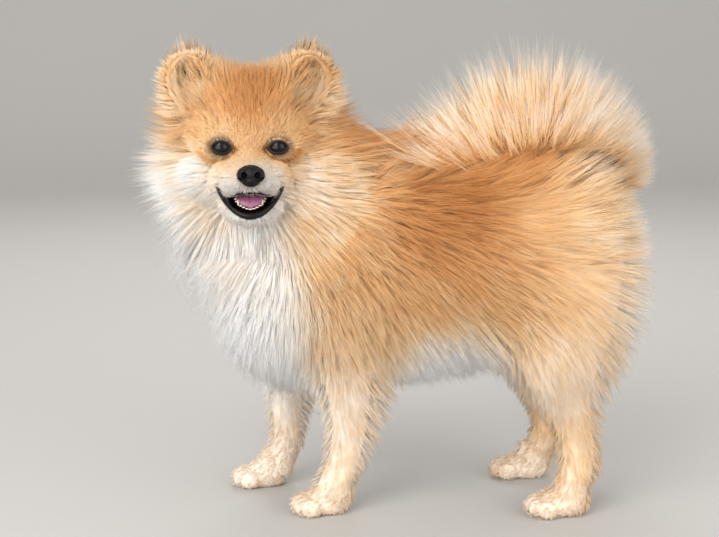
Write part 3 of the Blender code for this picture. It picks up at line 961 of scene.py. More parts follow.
# The same columns for the body, in metres of the dog's own frame
BODY_COMB = Comb(
    (
        ("mane", (0.000, -0.030, 0.270), (0, 0.75, 0.5), 1.0, 75, 0.75, 0.86, 0.15, 0.0),
        ("flank", (0.000, 0.040, 0.262), (0, 0.95, 0.25), 0.8, 55, 0.75, 0.86, 0.10, 0.0),
        ("flank", (0.055, 0.000, 0.238), (0.3, 0.8, -0.4), 0.8, 62, 0.75, 1.02, 0.08, 0.12),
        ("flank", (0.064, 0.008, 0.195), (0.25, 0.65, -0.7), 0.7, 62, 0.75, 0.68, 0.10, 0.08),
        ("flank", (0.064, 0.035, 0.200), (0.25, 0.75, -0.5), 0.7, 60, 0.75, 0.82, 0.10, 0.05),
        ("rump", (0.063, 0.062, 0.215), (0.25, 0.95, -0.15), 0.9, 62, 0.75, 0.66, 0.12, 0.0),
        ("flank", (0.055, 0.020, 0.145), (0.2, 0.65, -0.75), 0.7, 58, 0.70, 0.44, 0.35, 0.0),
        ("flank", (0.000, 0.020, 0.120), (0, 0.2, -1), 1.2, 60, 0.60, -0.20, 0.0, 0.0),
        ("flank", (0.035, 0.030, 0.125), (0.15, 0.45, -0.9), 1.0, 60, 0.65, -0.22, 0.0, 0.0),
        ("flank", (0.052, 0.010, 0.118), (0.15, 0.45, -0.9), 1.0, 60, 0.60, -0.05, 0.0, 0.0),
        ("mane", (0.055, -0.060, 0.215), (0.35, 0.5, -0.6), 0.9, 80, 0.75, 0.78, 0.22, 0.0),
        ("mane", (0.050, -0.060, 0.155), (0.3, 0.35, -0.9), 0.8, 62, 0.70, 0.56, 0.10, 0.0),
        ("chest", (0.000, -0.150, 0.190), (0, -0.3, -0.95), 0.9, 80, 0.75, -0.30, 0.0, 0.0),
        ("chest", (0.040, -0.125, 0.175), (0.35, -0.15, -0.9), 0.9, 72, 0.70, 0.06, 0.0, 0.0),
        ("chest", (0.000, -0.115, 0.130), (0, -0.1, -1), 0.7, 52, 0.60, -0.24, 0.0, 0.0),
        ("rump", (0.030, 0.120, 0.250), (0.1, 0.85, 0.4), 0.8, 60, 0.75, 0.62, 0.25, 0.0),
        ("rump", (0.068, 0.070, 0.180), (0.3, 0.75, -0.55), 0.8, 55, 0.70, 0.74, 0.25, 0.0),
        ("rump", (0.055, 0.120, 0.210), (0.3, 0.9, -0.05), 0.8, 62, 0.75, 0.54, 0.20, 0.0),
        ("rump", (0.000, 0.160, 0.200), (0, 1, 0), 0.9, 62, 0.70, 0.26, 0.1, 0.0),
        ("rump", (0.030, 0.145, 0.160), (0.15, 0.85, -0.5), 0.9, 58, 0.70, 0.16, 0.1, 0.0),
        ("rump", (0.070, 0.100, 0.155), (0.3, 0.5, -0.75), 0.7, 50, 0.65, 0.52, 0.12, 0.0),
        ("rump", (0.068, 0.100, 0.115), (0.15, 0.35, -0.95), 0.8, 40, 0.55, 0.46, 0.08, 0.0),
        ("legs", (0.036, 0.100, 0.110), (-0.1, 0.3, -0.95), 1.1, 38, 0.50, 0.08, 0.0, 0.0),
        ("legs", (0.044, -0.060, 0.095), (0.1, 0.35, -0.9), 1.3, 46, 0.50, 0.54, 0.15, 0.0),
        ("legs", (0.022, -0.070, 0.095), (-0.05, 0.35, -0.9), 1.2, 40, 0.50, 0.08, 0.0, 0.0),
        ("legs", (0.033, -0.060, 0.050), (0, 0.3, -1), 1.2, 30, 0.36, 0.38, 0.1, 0.0),
        # The paws' soot is painted shade near the floor
        ("paws", (0.033, -0.080, 0.010), (0, -0.7, -0.4), 0.5, 4.6, 0.28, 0.36, 0.0, 0.06),
        ("legs", (0.062, 0.112, 0.075), (0.05, 0.3, -1), 1.1, 34, 0.42, 0.54, 0.1, 0.0),
        ("legs", (0.052, 0.120, 0.045), (0, 0.2, -1), 1.0, 26, 0.34, 0.50, 0.1, 0.0),
        # The hind paws' soot too is painted shade near the floor
        ("paws", (0.052, 0.100, 0.010), (0, -0.7, -0.4), 0.5, 4.6, 0.28, 0.36, 0.0, 0.06),
    ),
    0.020,
)

# The tail's plume in the same frame: the point its hair fans from, the height it starts at, its
# distance from the tail's core, how much wider than high it fans, and its columns as above
TAIL_FOCUS = (0.000, 0.095, 0.225)
TAIL_FROM = 0.252
TAIL_RADIUS = 0.0125
TAIL_FAN = (1.6, 1.0, 1.0)
TAIL_COLUMNS = (1.0, 130, 0.74, 0.88, 0.74, 0.0)

# Middle of the head, and the distances from it between which its coat gives way to the body's
HEAD_CENTRE = (0, -28, -2)
HEAD_REACH = (62.0, 96.0)

# Share of the height above the head's centre that counts, so that the ears belong to the head
EAR_NEARNESS = 0.5

# Shares by which hair turns off the skin at its root and at its tip, for a lift of one
ROOT_LIFT = 1.35
TIP_LIFT = 0.55

# Share of the tip's direction that follows the skin; the rest keeps the lie as it was placed
TIP_ALONG_SKIN = 0.65

# Millimetres of hair below which the coat keeps its own length, and above which the outer form sets it
SHORT_COAT = (12.0, 26.0)

# Shares of their length that short hair, and the long hair of the head, keep where that form lies close
SHORT_KEPT = 0.75
LONG_KEPT = 0.38
SHORTEST_HAIR = 0.0015

# How far the hair of the crown, the ears' fringe and the tail stands past the outer form
STANDING_EXTRA = 0.006

# Crown and fringe in the head's millimetres: half width, the heights between which each comes in,
# how far back the fringe lies, and the share of the extra that it takes
CROWN_WIDTH = 28
CROWN_RISE = (28, 46)
FRINGE_RISE = (46, 60)
FRINGE_BEHIND = -27
FRINGE_SHARE = 1.2

# How much paler the right side of the ruff and cheeks is than the left, partly its paler coat and partly
# painted light, as light falls warmer on the left; and the millimetres to the right, back and up between
# which that comes in or ends
PALER_RIGHT = 0.46
PALER_CHEEK = (14, 54)
PALER_RUFF = (2, 20)
PALER_BACK = (20, 40)
PALER_HEIGHT = (-12, 12)

# Bare skin of the mouth in the head's millimetres: how far inside the corners, above the upper lip's
# edge and above the lower lip's edge it ends, and the places forward between which it lies
LIP_CORNER = 1.5
LIP_ABOVE = 0.6
LIP_BELOW = 4.0
MOUTH_BACK, MOUTH_FRONT = -6, 40

# Width of the bare edge of the lids, the place forward behind which no point belongs to an eye, and
# the share that then stands for its distance
LID_EDGE = 0.8
BEHIND_EYES = -5
FAR_FROM_EYES = 9.0

# Nose leather: its middle to the left and up, half its width and height, and its place forward
NOSE_LEATHER = (0.6, -20.0, 9.0, 7.4)
NOSE_FRONT = 28

# Dark skin under the nose: soot, half width, height, half height, and the place forward it starts at
UNDER_NOSE = (0.92, 10.0, -31.0, 5.0, 20)

# Dark skin round the nose: soot, its extent as a share of the leather's size, and where it starts
ROUND_NOSE = (0.34, 0.42, 24)

# Dark rim of the eye, the lids' dark skin widened into a ring of painted shade: soot, and the shares of the
# eye's size between which it ends
EYE_RIM = (0.85, 1.04, 1.34)

# Crease below the eye: its middle and extent as shares of the eye's size, the heights between which
# it ends, and what it adds to the tone and the soot
EYE_CREASE = (1.62, 0.30)
CREASE_HEIGHT = (-3.0, 1.0)
CREASE_TONE = 0.35
CREASE_SOOT = 0.10


def outer_form():
    """The coat's outer surface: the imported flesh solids, grown to meet, as one smooth closed form."""
    overlap = 0.0004
    forms = []
    for node in FLESH:
        shape = bmesh.new()
        shape.from_mesh(frame["nodes"][node].data)
        bmesh.ops.remove_doubles(shape, verts=shape.verts, dist=1e-5)
        shape.normal_update()
        for vert in shape.verts:
            vert.co += vert.normal * overlap
        mesh = bpy.data.meshes.new("form")
        shape.to_mesh(mesh)
        shape.free()
        forms.append(new_piece("form", mesh))
    outer = fuse(forms, 0.0030, 3)
    outer.name = "outer form"
    put_attribute(outer.data, "surface_way", relaxed_normals(outer.data, 6))
    return outer


def edges_of(mesh):
    edges = np.zeros(len(mesh.edges) * 2, np.int32)
    mesh.edges.foreach_get("vertices", edges)
    return edges.reshape(-1, 2)


def relaxed_normals(mesh, rounds):
    return unit(relax(points_of(mesh, "vertex_normals", "vector"), edges_of(mesh), rounds))


def reach_outer(outer, points, ways, longest):
    """Distance from each point to the outer form along its way, at most its longest."""
    tree = BVHTree.FromObject(outer, bpy.context.evaluated_depsgraph_get())
    reach = np.array(longest)
    for index, (point, way) in enumerate(zip(points, ways)):
        hit, normal, _, distance = tree.ray_cast(Vector(point), Vector(way))
        if hit is None or normal.dot(Vector(way)) < 0:
            reach[index] = 0.0
        else:
            reach[index] = min(distance, longest[index])
    return reach


def relax(values, edges, rounds):
    """Values averaged with those of their neighbours along the edges."""
    count = np.bincount(edges.ravel(), minlength=len(values)).astype(float)
    out = values.astype(float)
    shape = (-1,) + (1,) * (out.ndim - 1)
    for _ in range(rounds):
        total = np.zeros_like(out)
        np.add.at(total, edges[:, 0], out[edges[:, 1]])
        np.add.at(total, edges[:, 1], out[edges[:, 0]])
        out = 0.4 * out + 0.6 * total / np.maximum(count, 1).reshape(shape)
    return out


def inside_mouth(head):
    """True at points of the head that lie in the mouth's opening."""
    left, forward, up = head.T
    half = MOUTH_HALF_WIDTH - LIP_CORNER
    top = np.array([lip_line(value) for value in left])
    inside = np.clip(1 - (left / half) ** 2, 0, 1) ** (MOUTH_POWER / 2)
    low = MOUTH_TOP - (MOUTH_DEPTH - LIP_BELOW) * inside
    between = (np.abs(left) < half) & (forward > MOUTH_BACK) & (forward < MOUTH_FRONT)
    return between & (up < top + LIP_ABOVE) & (up > low)


def eye_clearance(head):
    """Distance from the nearer eye's opening, as a share of its size."""
    settings = bpy.context.scene.pomeranian_face
    wide, high = settings.lid_width * 500 + LID_EDGE, settings.lid_height * 500 + LID_EDGE
    spacing = (EYES["left"] - EYES["right"]).length * 500
    across = (np.abs(head[:, 0]) - spacing) / wide
    return np.where(head[:, 1] > BEHIND_EYES, np.hypot(across, head[:, 2] / high), FAR_FROM_EYES)


def nose_clearance(head):
    """Distance from the middle of the nose leather, as a share of its size."""
    middle, height, wide, high = NOSE_LEATHER
    return np.hypot((head[:, 0] - middle) / wide, (head[:, 2] - height) / high)


def in_nose(head):
    return (nose_clearance(head) < 1.0) & (head[:, 1] > NOSE_FRONT)


def blended_combs(head, body):
    """Share of the head's coat, lie, the other columns and the area, at each point."""
    axes = np.array(HEAD_AXES)
    lie_head, values_head, best_head = HEAD_COMB.read(head)
    lie_body, values_body, best_body = BODY_COMB.read(body)
    from_centre = head - np.array(HEAD_CENTRE)
    from_centre[:, 2] *= np.where(from_centre[:, 2] > 0, EAR_NEARNESS, 1.0)
    near = 1 - smoothstep(np.linalg.norm(from_centre, axis=1), *HEAD_REACH)
    lie = unit(near[:, None] * (lie_head @ axes.T) + (1 - near)[:, None] * lie_body)
    values = near[:, None] * values_head + (1 - near)[:, None] * values_body
    rows = zip(best_head, best_body, near)
    areas = [HEAD_COMB.areas[h] if n > 0.5 else BODY_COMB.areas[b] for h, b, n in rows]
    areas = np.array(areas, dtype=object)
    flank = areas == "flank"
    areas[flank & (body[:, 0] >= 0)] = "flank_left"
    areas[flank & (body[:, 0] < 0)] = "flank_right"
    return near, lie, values, areas


def hair_length(outer, points, edges, way, longest):
    """Length that brings the hair out to the outer form, at most its longest."""
    reach = reach_outer(outer, points, unit(way), longest / 1000)
    return np.minimum(relax(reach, edges, 4), longest / 1000) / np.linalg.norm(way, axis=1)


def standing(head, near, on_tail):
    """Share of the extra length that the crown, the ears' fringe and the tail take."""
    crown = np.exp(-((head[:, 0] / CROWN_WIDTH) ** 2)) * smoothstep(head[:, 2], *CROWN_RISE)
    fringe = FRINGE_SHARE * smoothstep(head[:, 2], *FRINGE_RISE) * (head[:, 1] < FRINGE_BEHIND)
    return np.maximum(near * np.maximum(crown, fringe), on_tail)


def paler_side(head, near):
    """Share by which the right side of the cheeks and the ruff is paler, partly its paler coat and partly
    painted light.
    """
    ruff = smoothstep(-head[:, 0], *PALER_RUFF) * smoothstep(-head[:, 1], *PALER_BACK)
    cheek = smoothstep(-head[:, 0], *PALER_CHEEK)
    return np.maximum(cheek, ruff) * near * (1 - smoothstep(head[:, 2], *PALER_HEIGHT))


def face_marks(head, from_eye, tone, soot):
    """Tone and soot with the dark skin round the nose and the eyes, and a ring of painted shade round each
    eye.
    """
    dark, width, height, depth, start = UNDER_NOSE
    under = np.exp(-((head[:, 0] / width) ** 2) - ((head[:, 2] - height) / depth) ** 2)
    soot = np.maximum(soot, dark * (under * (head[:, 1] > start)))
    dark, width, start = ROUND_NOSE
    round_nose = np.exp(-(((nose_clearance(head) - 1) / width) ** 2)) * (head[:, 1] > start)
    soot = np.maximum(soot, dark * round_nose)
    # The eye's dark rim fades out through a ring of painted shade round the eye
    dark, inner, outer = EYE_RIM
    soot = soot + dark * (1 - smoothstep(from_eye, inner, outer))
    middle, width = EYE_CREASE
    crease = np.exp(-(((from_eye - middle) / width) ** 2)) * (1 - smoothstep(head[:, 2], *CREASE_HEIGHT))
    return tone + CREASE_TONE * crease, soot + CREASE_SOOT * crease


def mark_skin(skin, outer):
    """Stores on every point of the skin how the coat grows there and how it looks."""
    mesh = skin.data
    points = points_of(mesh)
    normals = points_of(mesh, "vertex_normals", "vector")
    edges = edges_of(mesh)
    body = points - np.array(SHIFT)
    head = (points - np.array(EYE_LINE)) @ np.array(HEAD_AXES) * 1000
    near, lie, values, areas = blended_combs(head, body)

    core = np.array(smooth_rows(TAIL_CORE, 5))
    to_core = np.linalg.norm(body[:, None, :] - core[None], axis=2).min(1)
    on_tail = (to_core < TAIL_RADIUS) & (body[:, 2] > TAIL_FROM)
    fan = unit((body - np.array(TAIL_FOCUS)) * TAIL_FAN + normals * 0.02)
    lie[on_tail] = fan[on_tail]
    values[on_tail] = TAIL_COLUMNS
    areas[on_tail] = "tail"

    lift, longest, width, tone, fade, soot = values.T
    along_skin = lie - (lie * normals).sum(1, keepdims=True) * normals
    flat = unit(along_skin + 0.15 * lie)
    root_way = unit(flat + normals * (ROOT_LIFT * lift)[:, None])
    tip_way = unit(TIP_ALONG_SKIN * flat + (1 - TIP_ALONG_SKIN) * lie + normals * (TIP_LIFT * lift)[:, None])
    root_way[on_tail] = unit(normals + fan)[on_tail]
    tip_way[on_tail] = fan[on_tail]

    reach = hair_length(outer, points, edges, (root_way + tip_way) / 2, longest)
    reach = reach + STANDING_EXTRA * standing(head, near, on_tail)
    kept = np.maximum(SHORT_KEPT * (1 - smoothstep(longest, *SHORT_COAT)), LONG_KEPT * near)
    reach = np.maximum(reach, kept * longest / 1000)

    # The paler right side is partly the coat's own and partly painted light
    paler = PALER_RIGHT * paler_side(head, near)
    from_eye = eye_clearance(head)
    tone, soot = face_marks(head, from_eye, tone - paler, soot)
    mouth = inside_mouth(head)
    bare = mouth | (from_eye < 1.0) | (points[:, 2] < SOLE_HEIGHT + SOLE_MARGIN) | in_nose(head)
    for name, column_values in (
        ("root_way", root_way),
        ("tip_way", tip_way),
        ("reach", np.maximum(reach, SHORTEST_HAIR)),
        ("width", width / 1000),
        ("tone", tone),
        ("fade", fade + paler),
        ("soot", soot),
        ("wet", mouth.astype(float)),
        ("grow", np.where(bare, 0.0, 1.0)),
    ):
        put_attribute(mesh, name, column_values)
    return areas


class POMERANIAN_OT_skin(bpy.types.Operator):
    """Build the skin under the coat as one closed form"""

    bl_idname = "pomeranian.skin"
    bl_label = "Skin"

    def execute(self, context):
        settings = context.scene.pomeranian_skin
        face = context.scene.pomeranian_face
        head = fuse(head_forms() + lid_forms(), settings.head_voxel, 9)
        boolean(head, mouth_cutter(), "DIFFERENCE")
        for side, centre in EYES.items():
            boolean(head, ball(centre, (EYE_RADIUS * 0.99,) * 3, HEAD_AXES, 48, 32), "DIFFERENCE")
            boolean(head, lid_cutter(face, centre, 1 if side == "left" else -1), "DIFFERENCE")
        skin = fuse(body_forms(), settings.body_voxel, 5)
        boolean(skin, head, "UNION")
        paws = [form for row in PAW_PLACES for form in paw_forms(*row)]
        boolean(skin, fuse(paws, settings.head_voxel, 4), "UNION")
        for vert in skin.data.vertices:
            vert.co.z = max(vert.co.z, SOLE_HEIGHT)
        self.unwrap(context, skin)
        shading, colour = hair_shading("skin", context.scene.pomeranian_coat, 0.6)
        # The inside of the mouth is glossier and painted dark: its dark skin with painted shade in the
        # hollow
        wet = shading.attribute("wet")
        shading.feed("Base Color", shading.mix(wet, colour, opaque(settings.wet)))
        shading.feed("Roughness", 0.85 - wet * 0.50)
        shading.bump(shading.noise(1400.0, 3.0), 0.0004)
        finish_form(skin, "skin", shading.material, "orange_coat", *FLESH)
        areas = mark_skin(skin, outer_form())
        names = sorted(set(areas))
        put_attribute(skin.data, "area", np.array([names.index(area) for area in areas], float))
        skin["areas"] = names
        return {"FINISHED"}

    def unwrap(self, context, skin):
        context.view_layer.objects.active = skin
        skin.select_set(True)
        skin.data.uv_layers.new(name="OFBake")
        bpy.ops.object.mode_set(mode="EDIT")
        bpy.ops.mesh.select_all(action="SELECT")
        bpy.ops.uv.smart_project(angle_limit=math.radians(66), island_margin=0.002)
        bpy.ops.object.mode_set(mode="OBJECT")
        skin.select_set(False)


# Face


class POMERANIAN_OT_eyes(bpy.types.Operator):
    """Build the eyeballs and the rims of the eyelids"""

    bl_idname = "pomeranian.eyes"
    bl_label = "Eyes"

    def execute(self, context):
        settings = context.scene.pomeranian_face
        ball_material = self.eye_material(settings)
        rim_material = self.rim_material(settings)
        for side, centre in EYES.items():
            eye = self.eyeball(centre)
            finish_form(eye, "eyeball_" + side, ball_material, "eye", "eye_" + side)
            sign = 1 if side == "left" else -1
            finish_form(self.lids(settings, centre, sign), "eyelids_" + side, rim_material, "lip_leather")
        return {"FINISHED"}

    def eyeball(self, centre):
        """A ball with its clear front swelling over the iris, and the angle from its axis stored."""
        eye = ball(centre, (EYE_RADIUS,) * 3, HEAD_AXES @ Matrix.Rotation(math.pi / 2, 3, "X"), 64, 48)
        angles = []
        for vert in eye.data.vertices:
            way = (vert.co - centre).normalized()
            angle = way.angle(HEAD_FORWARD)
            angles.append(angle)
            vert.co += way * 0.0005 * math.exp(-((angle / 0.62) ** 4))
        put_attribute(eye.data, "angle", np.array(angles))
        return eye

    def eye_material(self, settings):
        gloss = {"coat_weight": 0.05, "coat_roughness": 0.02, "specular_ior_level": 0.24}
        shading = Shading("eye", roughness=0.05, **gloss)
        angle = shading.attribute("angle")
        rays = shading.noise(620.0, 3.0)
        black = (0.004, 0.003, 0.003, 1.0)
        white = (1, 1, 1, 1)
        iris = shading.mix(rays, opaque(settings.iris, 0.5), opaque(settings.iris))
        # Pupil, iris and the dark border of the iris, by the angle from the eye's axis
        stops = [(0.0, black), (0.38, black), (0.46, white), (0.70, white), (0.80, black)]
        shading.feed("Base Color", shading.mix(shading.ramp(angle, stops), black, iris))
        return shading.material

    def lids(self, settings, centre, sign):
        """The dark rim of both lids, a band that lies on the eyeball."""
        points = []
        radii = []
        shell = EYE_RADIUS + 0.0005
        count = 56
        for index in range(count):
            across, up = almond(settings, sign, index, count)
            along = math.sqrt(shell**2 - across**2 - up**2)
            points.append(centre + HEAD_LEFT * across + HEAD_FORWARD * along + HEAD_UP * up)
            radii.append(0.0008 + 0.0002 * (up < 0))
        return tube(points, radii, closed=True)

    def rim_material(self, settings):
        shading = Shading("eyelid rim", roughness=0.42, specular_ior_level=0.2)
        grain = shading.noise(900.0, 3.0)
        brown = linear(58, 40, 36)
        shading.feed("Base Color", shading.mix(grain * 0.35, opaque(settings.rim), brown))
        shading.bump(grain, 0.0002)
        return shading.material


def leather_material(settings, name, roughness, grain_scale, grain_depth):
    shading = Shading(name, roughness=roughness, specular_ior_level=0.22)
    inputs = {"Vector": shading.place(), "Scale": grain_scale}
    cells = shading.node("ShaderNodeTexVoronoi", {"feature": "DISTANCE_TO_EDGE"}, inputs, "Distance")
    cloud = shading.noise(260.0)
    grey = opaque(settings.leather, 1.5)
    shading.feed("Base Color", shading.mix(cloud * 0.45, opaque(settings.leather), grey))
    shading.feed("Roughness", roughness + (cloud - 0.5) * 0.25)
    shading.bump(cells, grain_depth)
    return shading.material


class POMERANIAN_OT_nose(bpy.types.Operator):
    """Build the nose leather with its nostrils"""

    bl_idname = "pomeranian.nose"
    bl_label = "Nose"

    def execute(self, context):
        nose = fuse(
            [
                head_ball(0.6, 32.5, -19.0, (9.6, 7.4, 7.0)),
                head_ball(0.6, 33.0, -23.0, (7.0, 6.4, 5.0)),
                head_ball(-4.8, 34.0, -19.4, (4.7, 6.6, 5.4)),
                head_ball(6.0, 34.0, -19.4, (4.7, 6.6, 5.4)),
            ],
            0.00045,
            6,
        )
        cutters = [head_ball(0.6, 42.2, -25.3, (0.45, 2.6, 5.5))]
        for side in (-1, 1):
            cutters.append(head_ball(0.6 + side * 4.7, 40.5, -19.4, (2.2, 4.6, 2.5), side * 20))
            cutters.append(head_ball(0.6 + side * 7.6, 38.0, -21.8, (2.6, 3.0, 0.75), side * -20))
        for cutter in cutters:
            boolean(nose, cutter, "DIFFERENCE")
        smooth(nose, 3)
        material = leather_material(context.scene.pomeranian_face, "nose leather", 0.28, 1300.0, 0.00020)
        finish_form(nose, "nose_leather", material, "nose_leather", "nose")
        return {"FINISHED"}


class POMERANIAN_OT_mouth(bpy.types.Operator):
    """Build the lips, the tongue and the teeth"""

    bl_idname = "pomeranian.mouth"
    bl_label = "Mouth"

    def execute(self, context):
        settings = context.scene.pomeranian_face
        lip_material = leather_material(settings, "lip leather", 0.28, 1100.0, 0.00008)
        finish_form(self.lower_lip(), "lower_lip", lip_material, "lip_leather")
        finish_form(self.upper_lip(), "upper_lip", lip_material, "lip_leather")
        finish_form(self.tongue(), "tongue_top", self.tongue_material(settings), "tongue", "tongue")
        finish_form(self.teeth(), "teeth", self.tooth_material(settings), "claw")
        return {"FINISHED"}

    def lower_lip(self):
        """A band along the mouth's lower edge, widest in front and narrow at the corners."""
        path = []
        count, sides = 61, 16
        for index in range(count):
            turn = math.pi * (1 + index / (count - 1))
            left, low = mouth_curve(turn, MOUTH_HALF_WIDTH, MOUTH_DEPTH)
            path.append((abs(low) / MOUTH_DEPTH, Vector((left, 0, MOUTH_TOP + low))))
        loops = []
        for index, (depth, edge) in enumerate(path):
            step = path[min(index + 1, count - 1)][1] - path[max(index - 1, 0)][1]
            outward = Vector((step.z, 0, -step.x)).normalized()
            half = 1.1 + 1.2 * depth
            thick = 1.5 + 1.0 * depth
            centre = edge - outward * half + Vector((0, 11.5 + 18.0 * depth**0.8, 0))
            across = (outward + Vector((0, -0.45, 0))).normalized()
            loop = []
            for step in range(sides):
                angle = 2 * math.pi * step / sides
                offset = across * half * math.cos(angle) + Vector((0, 1, 0)) * thick * math.sin(angle)
                loop.append(in_head(*(centre + offset)))
            loops.append(loop)
        return looped(loops)

    def upper_lip(self):
        count = 57
        points = []
        radii = []
        for index in range(count):
            left = MOUTH_HALF_WIDTH * math.cos(math.pi * index / (count - 1))
            points.append(in_head(left, lip_forward(left), lip_line(left) + 0.3))
            radii.append(0.0006 + 0.0002 * math.exp(-((left / 9) ** 2)))
        return tube(points, radii, sides=10)

    def tongue(self):
        rows = (
            (-6, -31.0, 10.0, 2.8),
            (4, -32.0, 11.0, 3.6),
            (12, -33.8, 11.2, 4.2),
            (18, -36.4, 10.2, 4.0),
            (22.0, -39.2, 8.2, 3.2),
            (24.0, -41.2, 4.2, 1.8),
        )
        tongue = fuse([head_loft(rows)], 0.0007, 4)
        for vert in tongue.data.vertices:
            across = (vert.co - EYE_LINE).dot(HEAD_LEFT) * 1000
            vert.co -= HEAD_UP * 0.0011 * math.exp(-((across / 1.3) ** 2))
        return tongue

    def tongue_material(self, settings):
        wetness = {"coat_weight": 0.35, "coat_roughness": 0.2, "subsurface_weight": 0.15}
        shading = Shading("tongue", roughness=0.34, **wetness)
        cloud = shading.noise(300.0)
        shading.feed("Base Color", shading.mix(cloud, opaque(settings.tongue, 0.6), opaque(settings.tongue)))
        shading.bump(shading.noise(2600.0, 3.0), 0.00025)
        return shading.material

    def teeth(self):
        """Lower incisors, canines and the first cheek teeth, set round the front of the jaw."""
        pegs = []
        for index in range(-6, 7):
            turn = math.radians(13.5 * index)
            left = 10.6 * math.sin(turn)
            forward = 14.0 + 11.0 * math.cos(turn)
            share = abs(index) / 6
            up = -44.0 + 7.2 * share**1.5
            canine = abs(index) == 4
            size = (0.95, 0.9, 2.5) if canine else (1.45, 0.6, 0.50 + 0.35 * share)
            pegs.append(head_ball(left, forward, up + (0.8 if canine else 0.0), size, 0.0, 16, 12))
        return fuse(pegs, 0.0004, 2)

    def tooth_material(self, settings):
        shading = Shading("tooth enamel", roughness=0.18, coat_weight=0.5, coat_roughness=0.1)
        cloud = shading.noise(500.0)
        shading.feed("Base Color", shading.mix(cloud * 0.4, opaque(settings.tooth), linear(226, 208, 176)))
        return shading.material


class POMERANIAN_OT_claws(bpy.types.Operator):
    """Build one curved claw at the front of each toe"""

    bl_idname = "pomeranian.claws"
    bl_label = "Claws"

    def execute(self, context):
        shading = Shading("claw horn", roughness=0.35)
        streaks = shading.noise(1800.0, 3.0)
        horn = context.scene.pomeranian_face.horn
        shading.feed("Base Color", shading.mix(streaks, opaque(horn, 0.45), opaque(horn)))
        shading.bump(streaks, 0.0001)
        for paw in PAWS:
            for toe in range(1, len(TOES) + 1):
                node = f"claw_{paw}_{toe}"
                finish_form(self.claw(node), "horn_" + node, shading.material, "claw", node)
        return {"FINISHED"}

    def claw(self, node):
        """A tapering hook along the solid's own long axis."""
        points = points_of(frame["nodes"][node].data)
        centre = points.mean(0)
        axis = np.linalg.svd(points - centre)[2][0]
        axis = Vector(axis if axis[1] < 0 else -axis)
        spread = (points - centre) @ np.array(axis)
        root = Vector(centre) + axis * spread.min()
        length = spread.max() - spread.min()
        path = []
        radii = []
        for step in range(9):
            t = step / 8
            path.append(root + axis * length * t + Vector((0, 0, 0.0008 * (t - t * t) * 2)))
            radii.append(0.00135 * (1 - t) ** 0.6 + 0.00015)
        return tube(path, radii, flatten=0.8, flat_way=Vector((1, 0, 0)))


# Coat


# Share of a strand's height at which it is thickest
BELLY = 0.56

# Seeds of what is drawn at random for each tuft
STRAY_SEED, LENGTH_SEED, SHADE_SEED, SPIN_SEED, SHAPE_SEED = range(11, 16)


def tuft_form(random, strands, spread):
    """A few strands growing side by side, one unit tall, each a closed three-sided spindle."""
    verts, faces, along, shade = [], [], [], []
    for _ in range(strands):
        turn = random.uniform(0, 2 * math.pi)
        root = spread * math.sqrt(random.uniform(0, 1)) * np.array((math.cos(turn), math.sin(turn)))
        tip = root * random.uniform(0.5, 1.5) + random.normal(0, spread * 0.5, 2)
        height = random.uniform(0.76, 1.0)
        bow = random.normal(0, spread * 0.35, 2)
        first = len(verts)
        verts.append((*root, 0.0))
        centre = root + (tip - root) * BELLY + bow
        for corner in range(3):
            angle = turn + 2 * math.pi * corner / 3
            verts.append((*(centre + 0.5 * np.array((math.cos(angle), math.sin(angle)))), BELLY * height))
        verts.append((*tip, height))
        along += [0.0, BELLY, BELLY, BELLY, 1.0]
        shade += [random.uniform(0, 1)] * 5
        for corner in range(3):
            here = first + 1 + corner
            after = first + 1 + (corner + 1) % 3
            faces.append((first, after, here))
            faces.append((here, after, first + 4))
    mesh = bpy.data.meshes.new("tuft")
    mesh.from_pydata(verts, [], faces)
    put_attribute(mesh, "along", np.array(along))
    put_attribute(mesh, "strand", np.array(shade))
    return bpy.data.objects.new("tuft", mesh)


class Growth:
    """A geometry node tree, with its nodes made and linked by one method."""

    def __init__(self, name):
        self.tree = bpy.data.node_groups.new(name, "GeometryNodeTree")

    def input(self, name, kind, default):
        socket = self.tree.interface.new_socket(name, in_out="INPUT", socket_type=kind)
        if default is not None:
            socket.default_value = default

    def node(self, kind, settings=None, inputs=None, output=0):
        """Adds a node; inputs are found by name among the sockets its settings leave enabled."""
        made = self.tree.nodes.new(kind)
        for setting, value in (settings or {}).items():
            setattr(made, setting, value)
        for name, value in (inputs or {}).items():
            if isinstance(name, int):
                socket = made.inputs[name]
            else:
                socket = next(item for item in made.inputs if item.name == name and item.enabled)
            if isinstance(value, bpy.types.NodeSocket):
                self.tree.links.new(value, socket)
            else:
                socket.default_value = value
        if isinstance(output, int):
            return [item for item in made.outputs if item.enabled][output]
        return next(item for item in made.outputs if item.name == output and item.enabled)

    def named(self, name, kind="FLOAT"):
        return self.node("GeometryNodeInputNamedAttribute", {"data_type": kind}, {"Name": name})

    def way(self, name):
        return self.named(name, "FLOAT_VECTOR")

    def combine(self, **axes):
        return self.node("ShaderNodeCombineXYZ", None, axes)

    def vector(self, operation, *values):
        return self.node("ShaderNodeVectorMath", {"operation": operation}, dict(enumerate(values)))

    def scaled(self, vector, factor):
        return self.node("ShaderNodeVectorMath", {"operation": "SCALE"}, {"Vector": vector, "Scale": factor})

    def maths(self, operation, *values):
        return self.node("ShaderNodeMath", {"operation": operation}, dict(enumerate(values)))

    def random(self, low, high, seed, kind="FLOAT"):
        inputs = {"Min": low, "Max": high, "Seed": seed}
        return self.node("FunctionNodeRandomValue", {"data_type": kind}, inputs)

    def store(self, geometry, name, kind, domain, value):
        settings = {"data_type": kind, "domain": domain}
        inputs = {"Geometry": geometry, "Name": name, "Value": value}
        return self.node("GeometryNodeStoreNamedAttribute", settings, inputs)


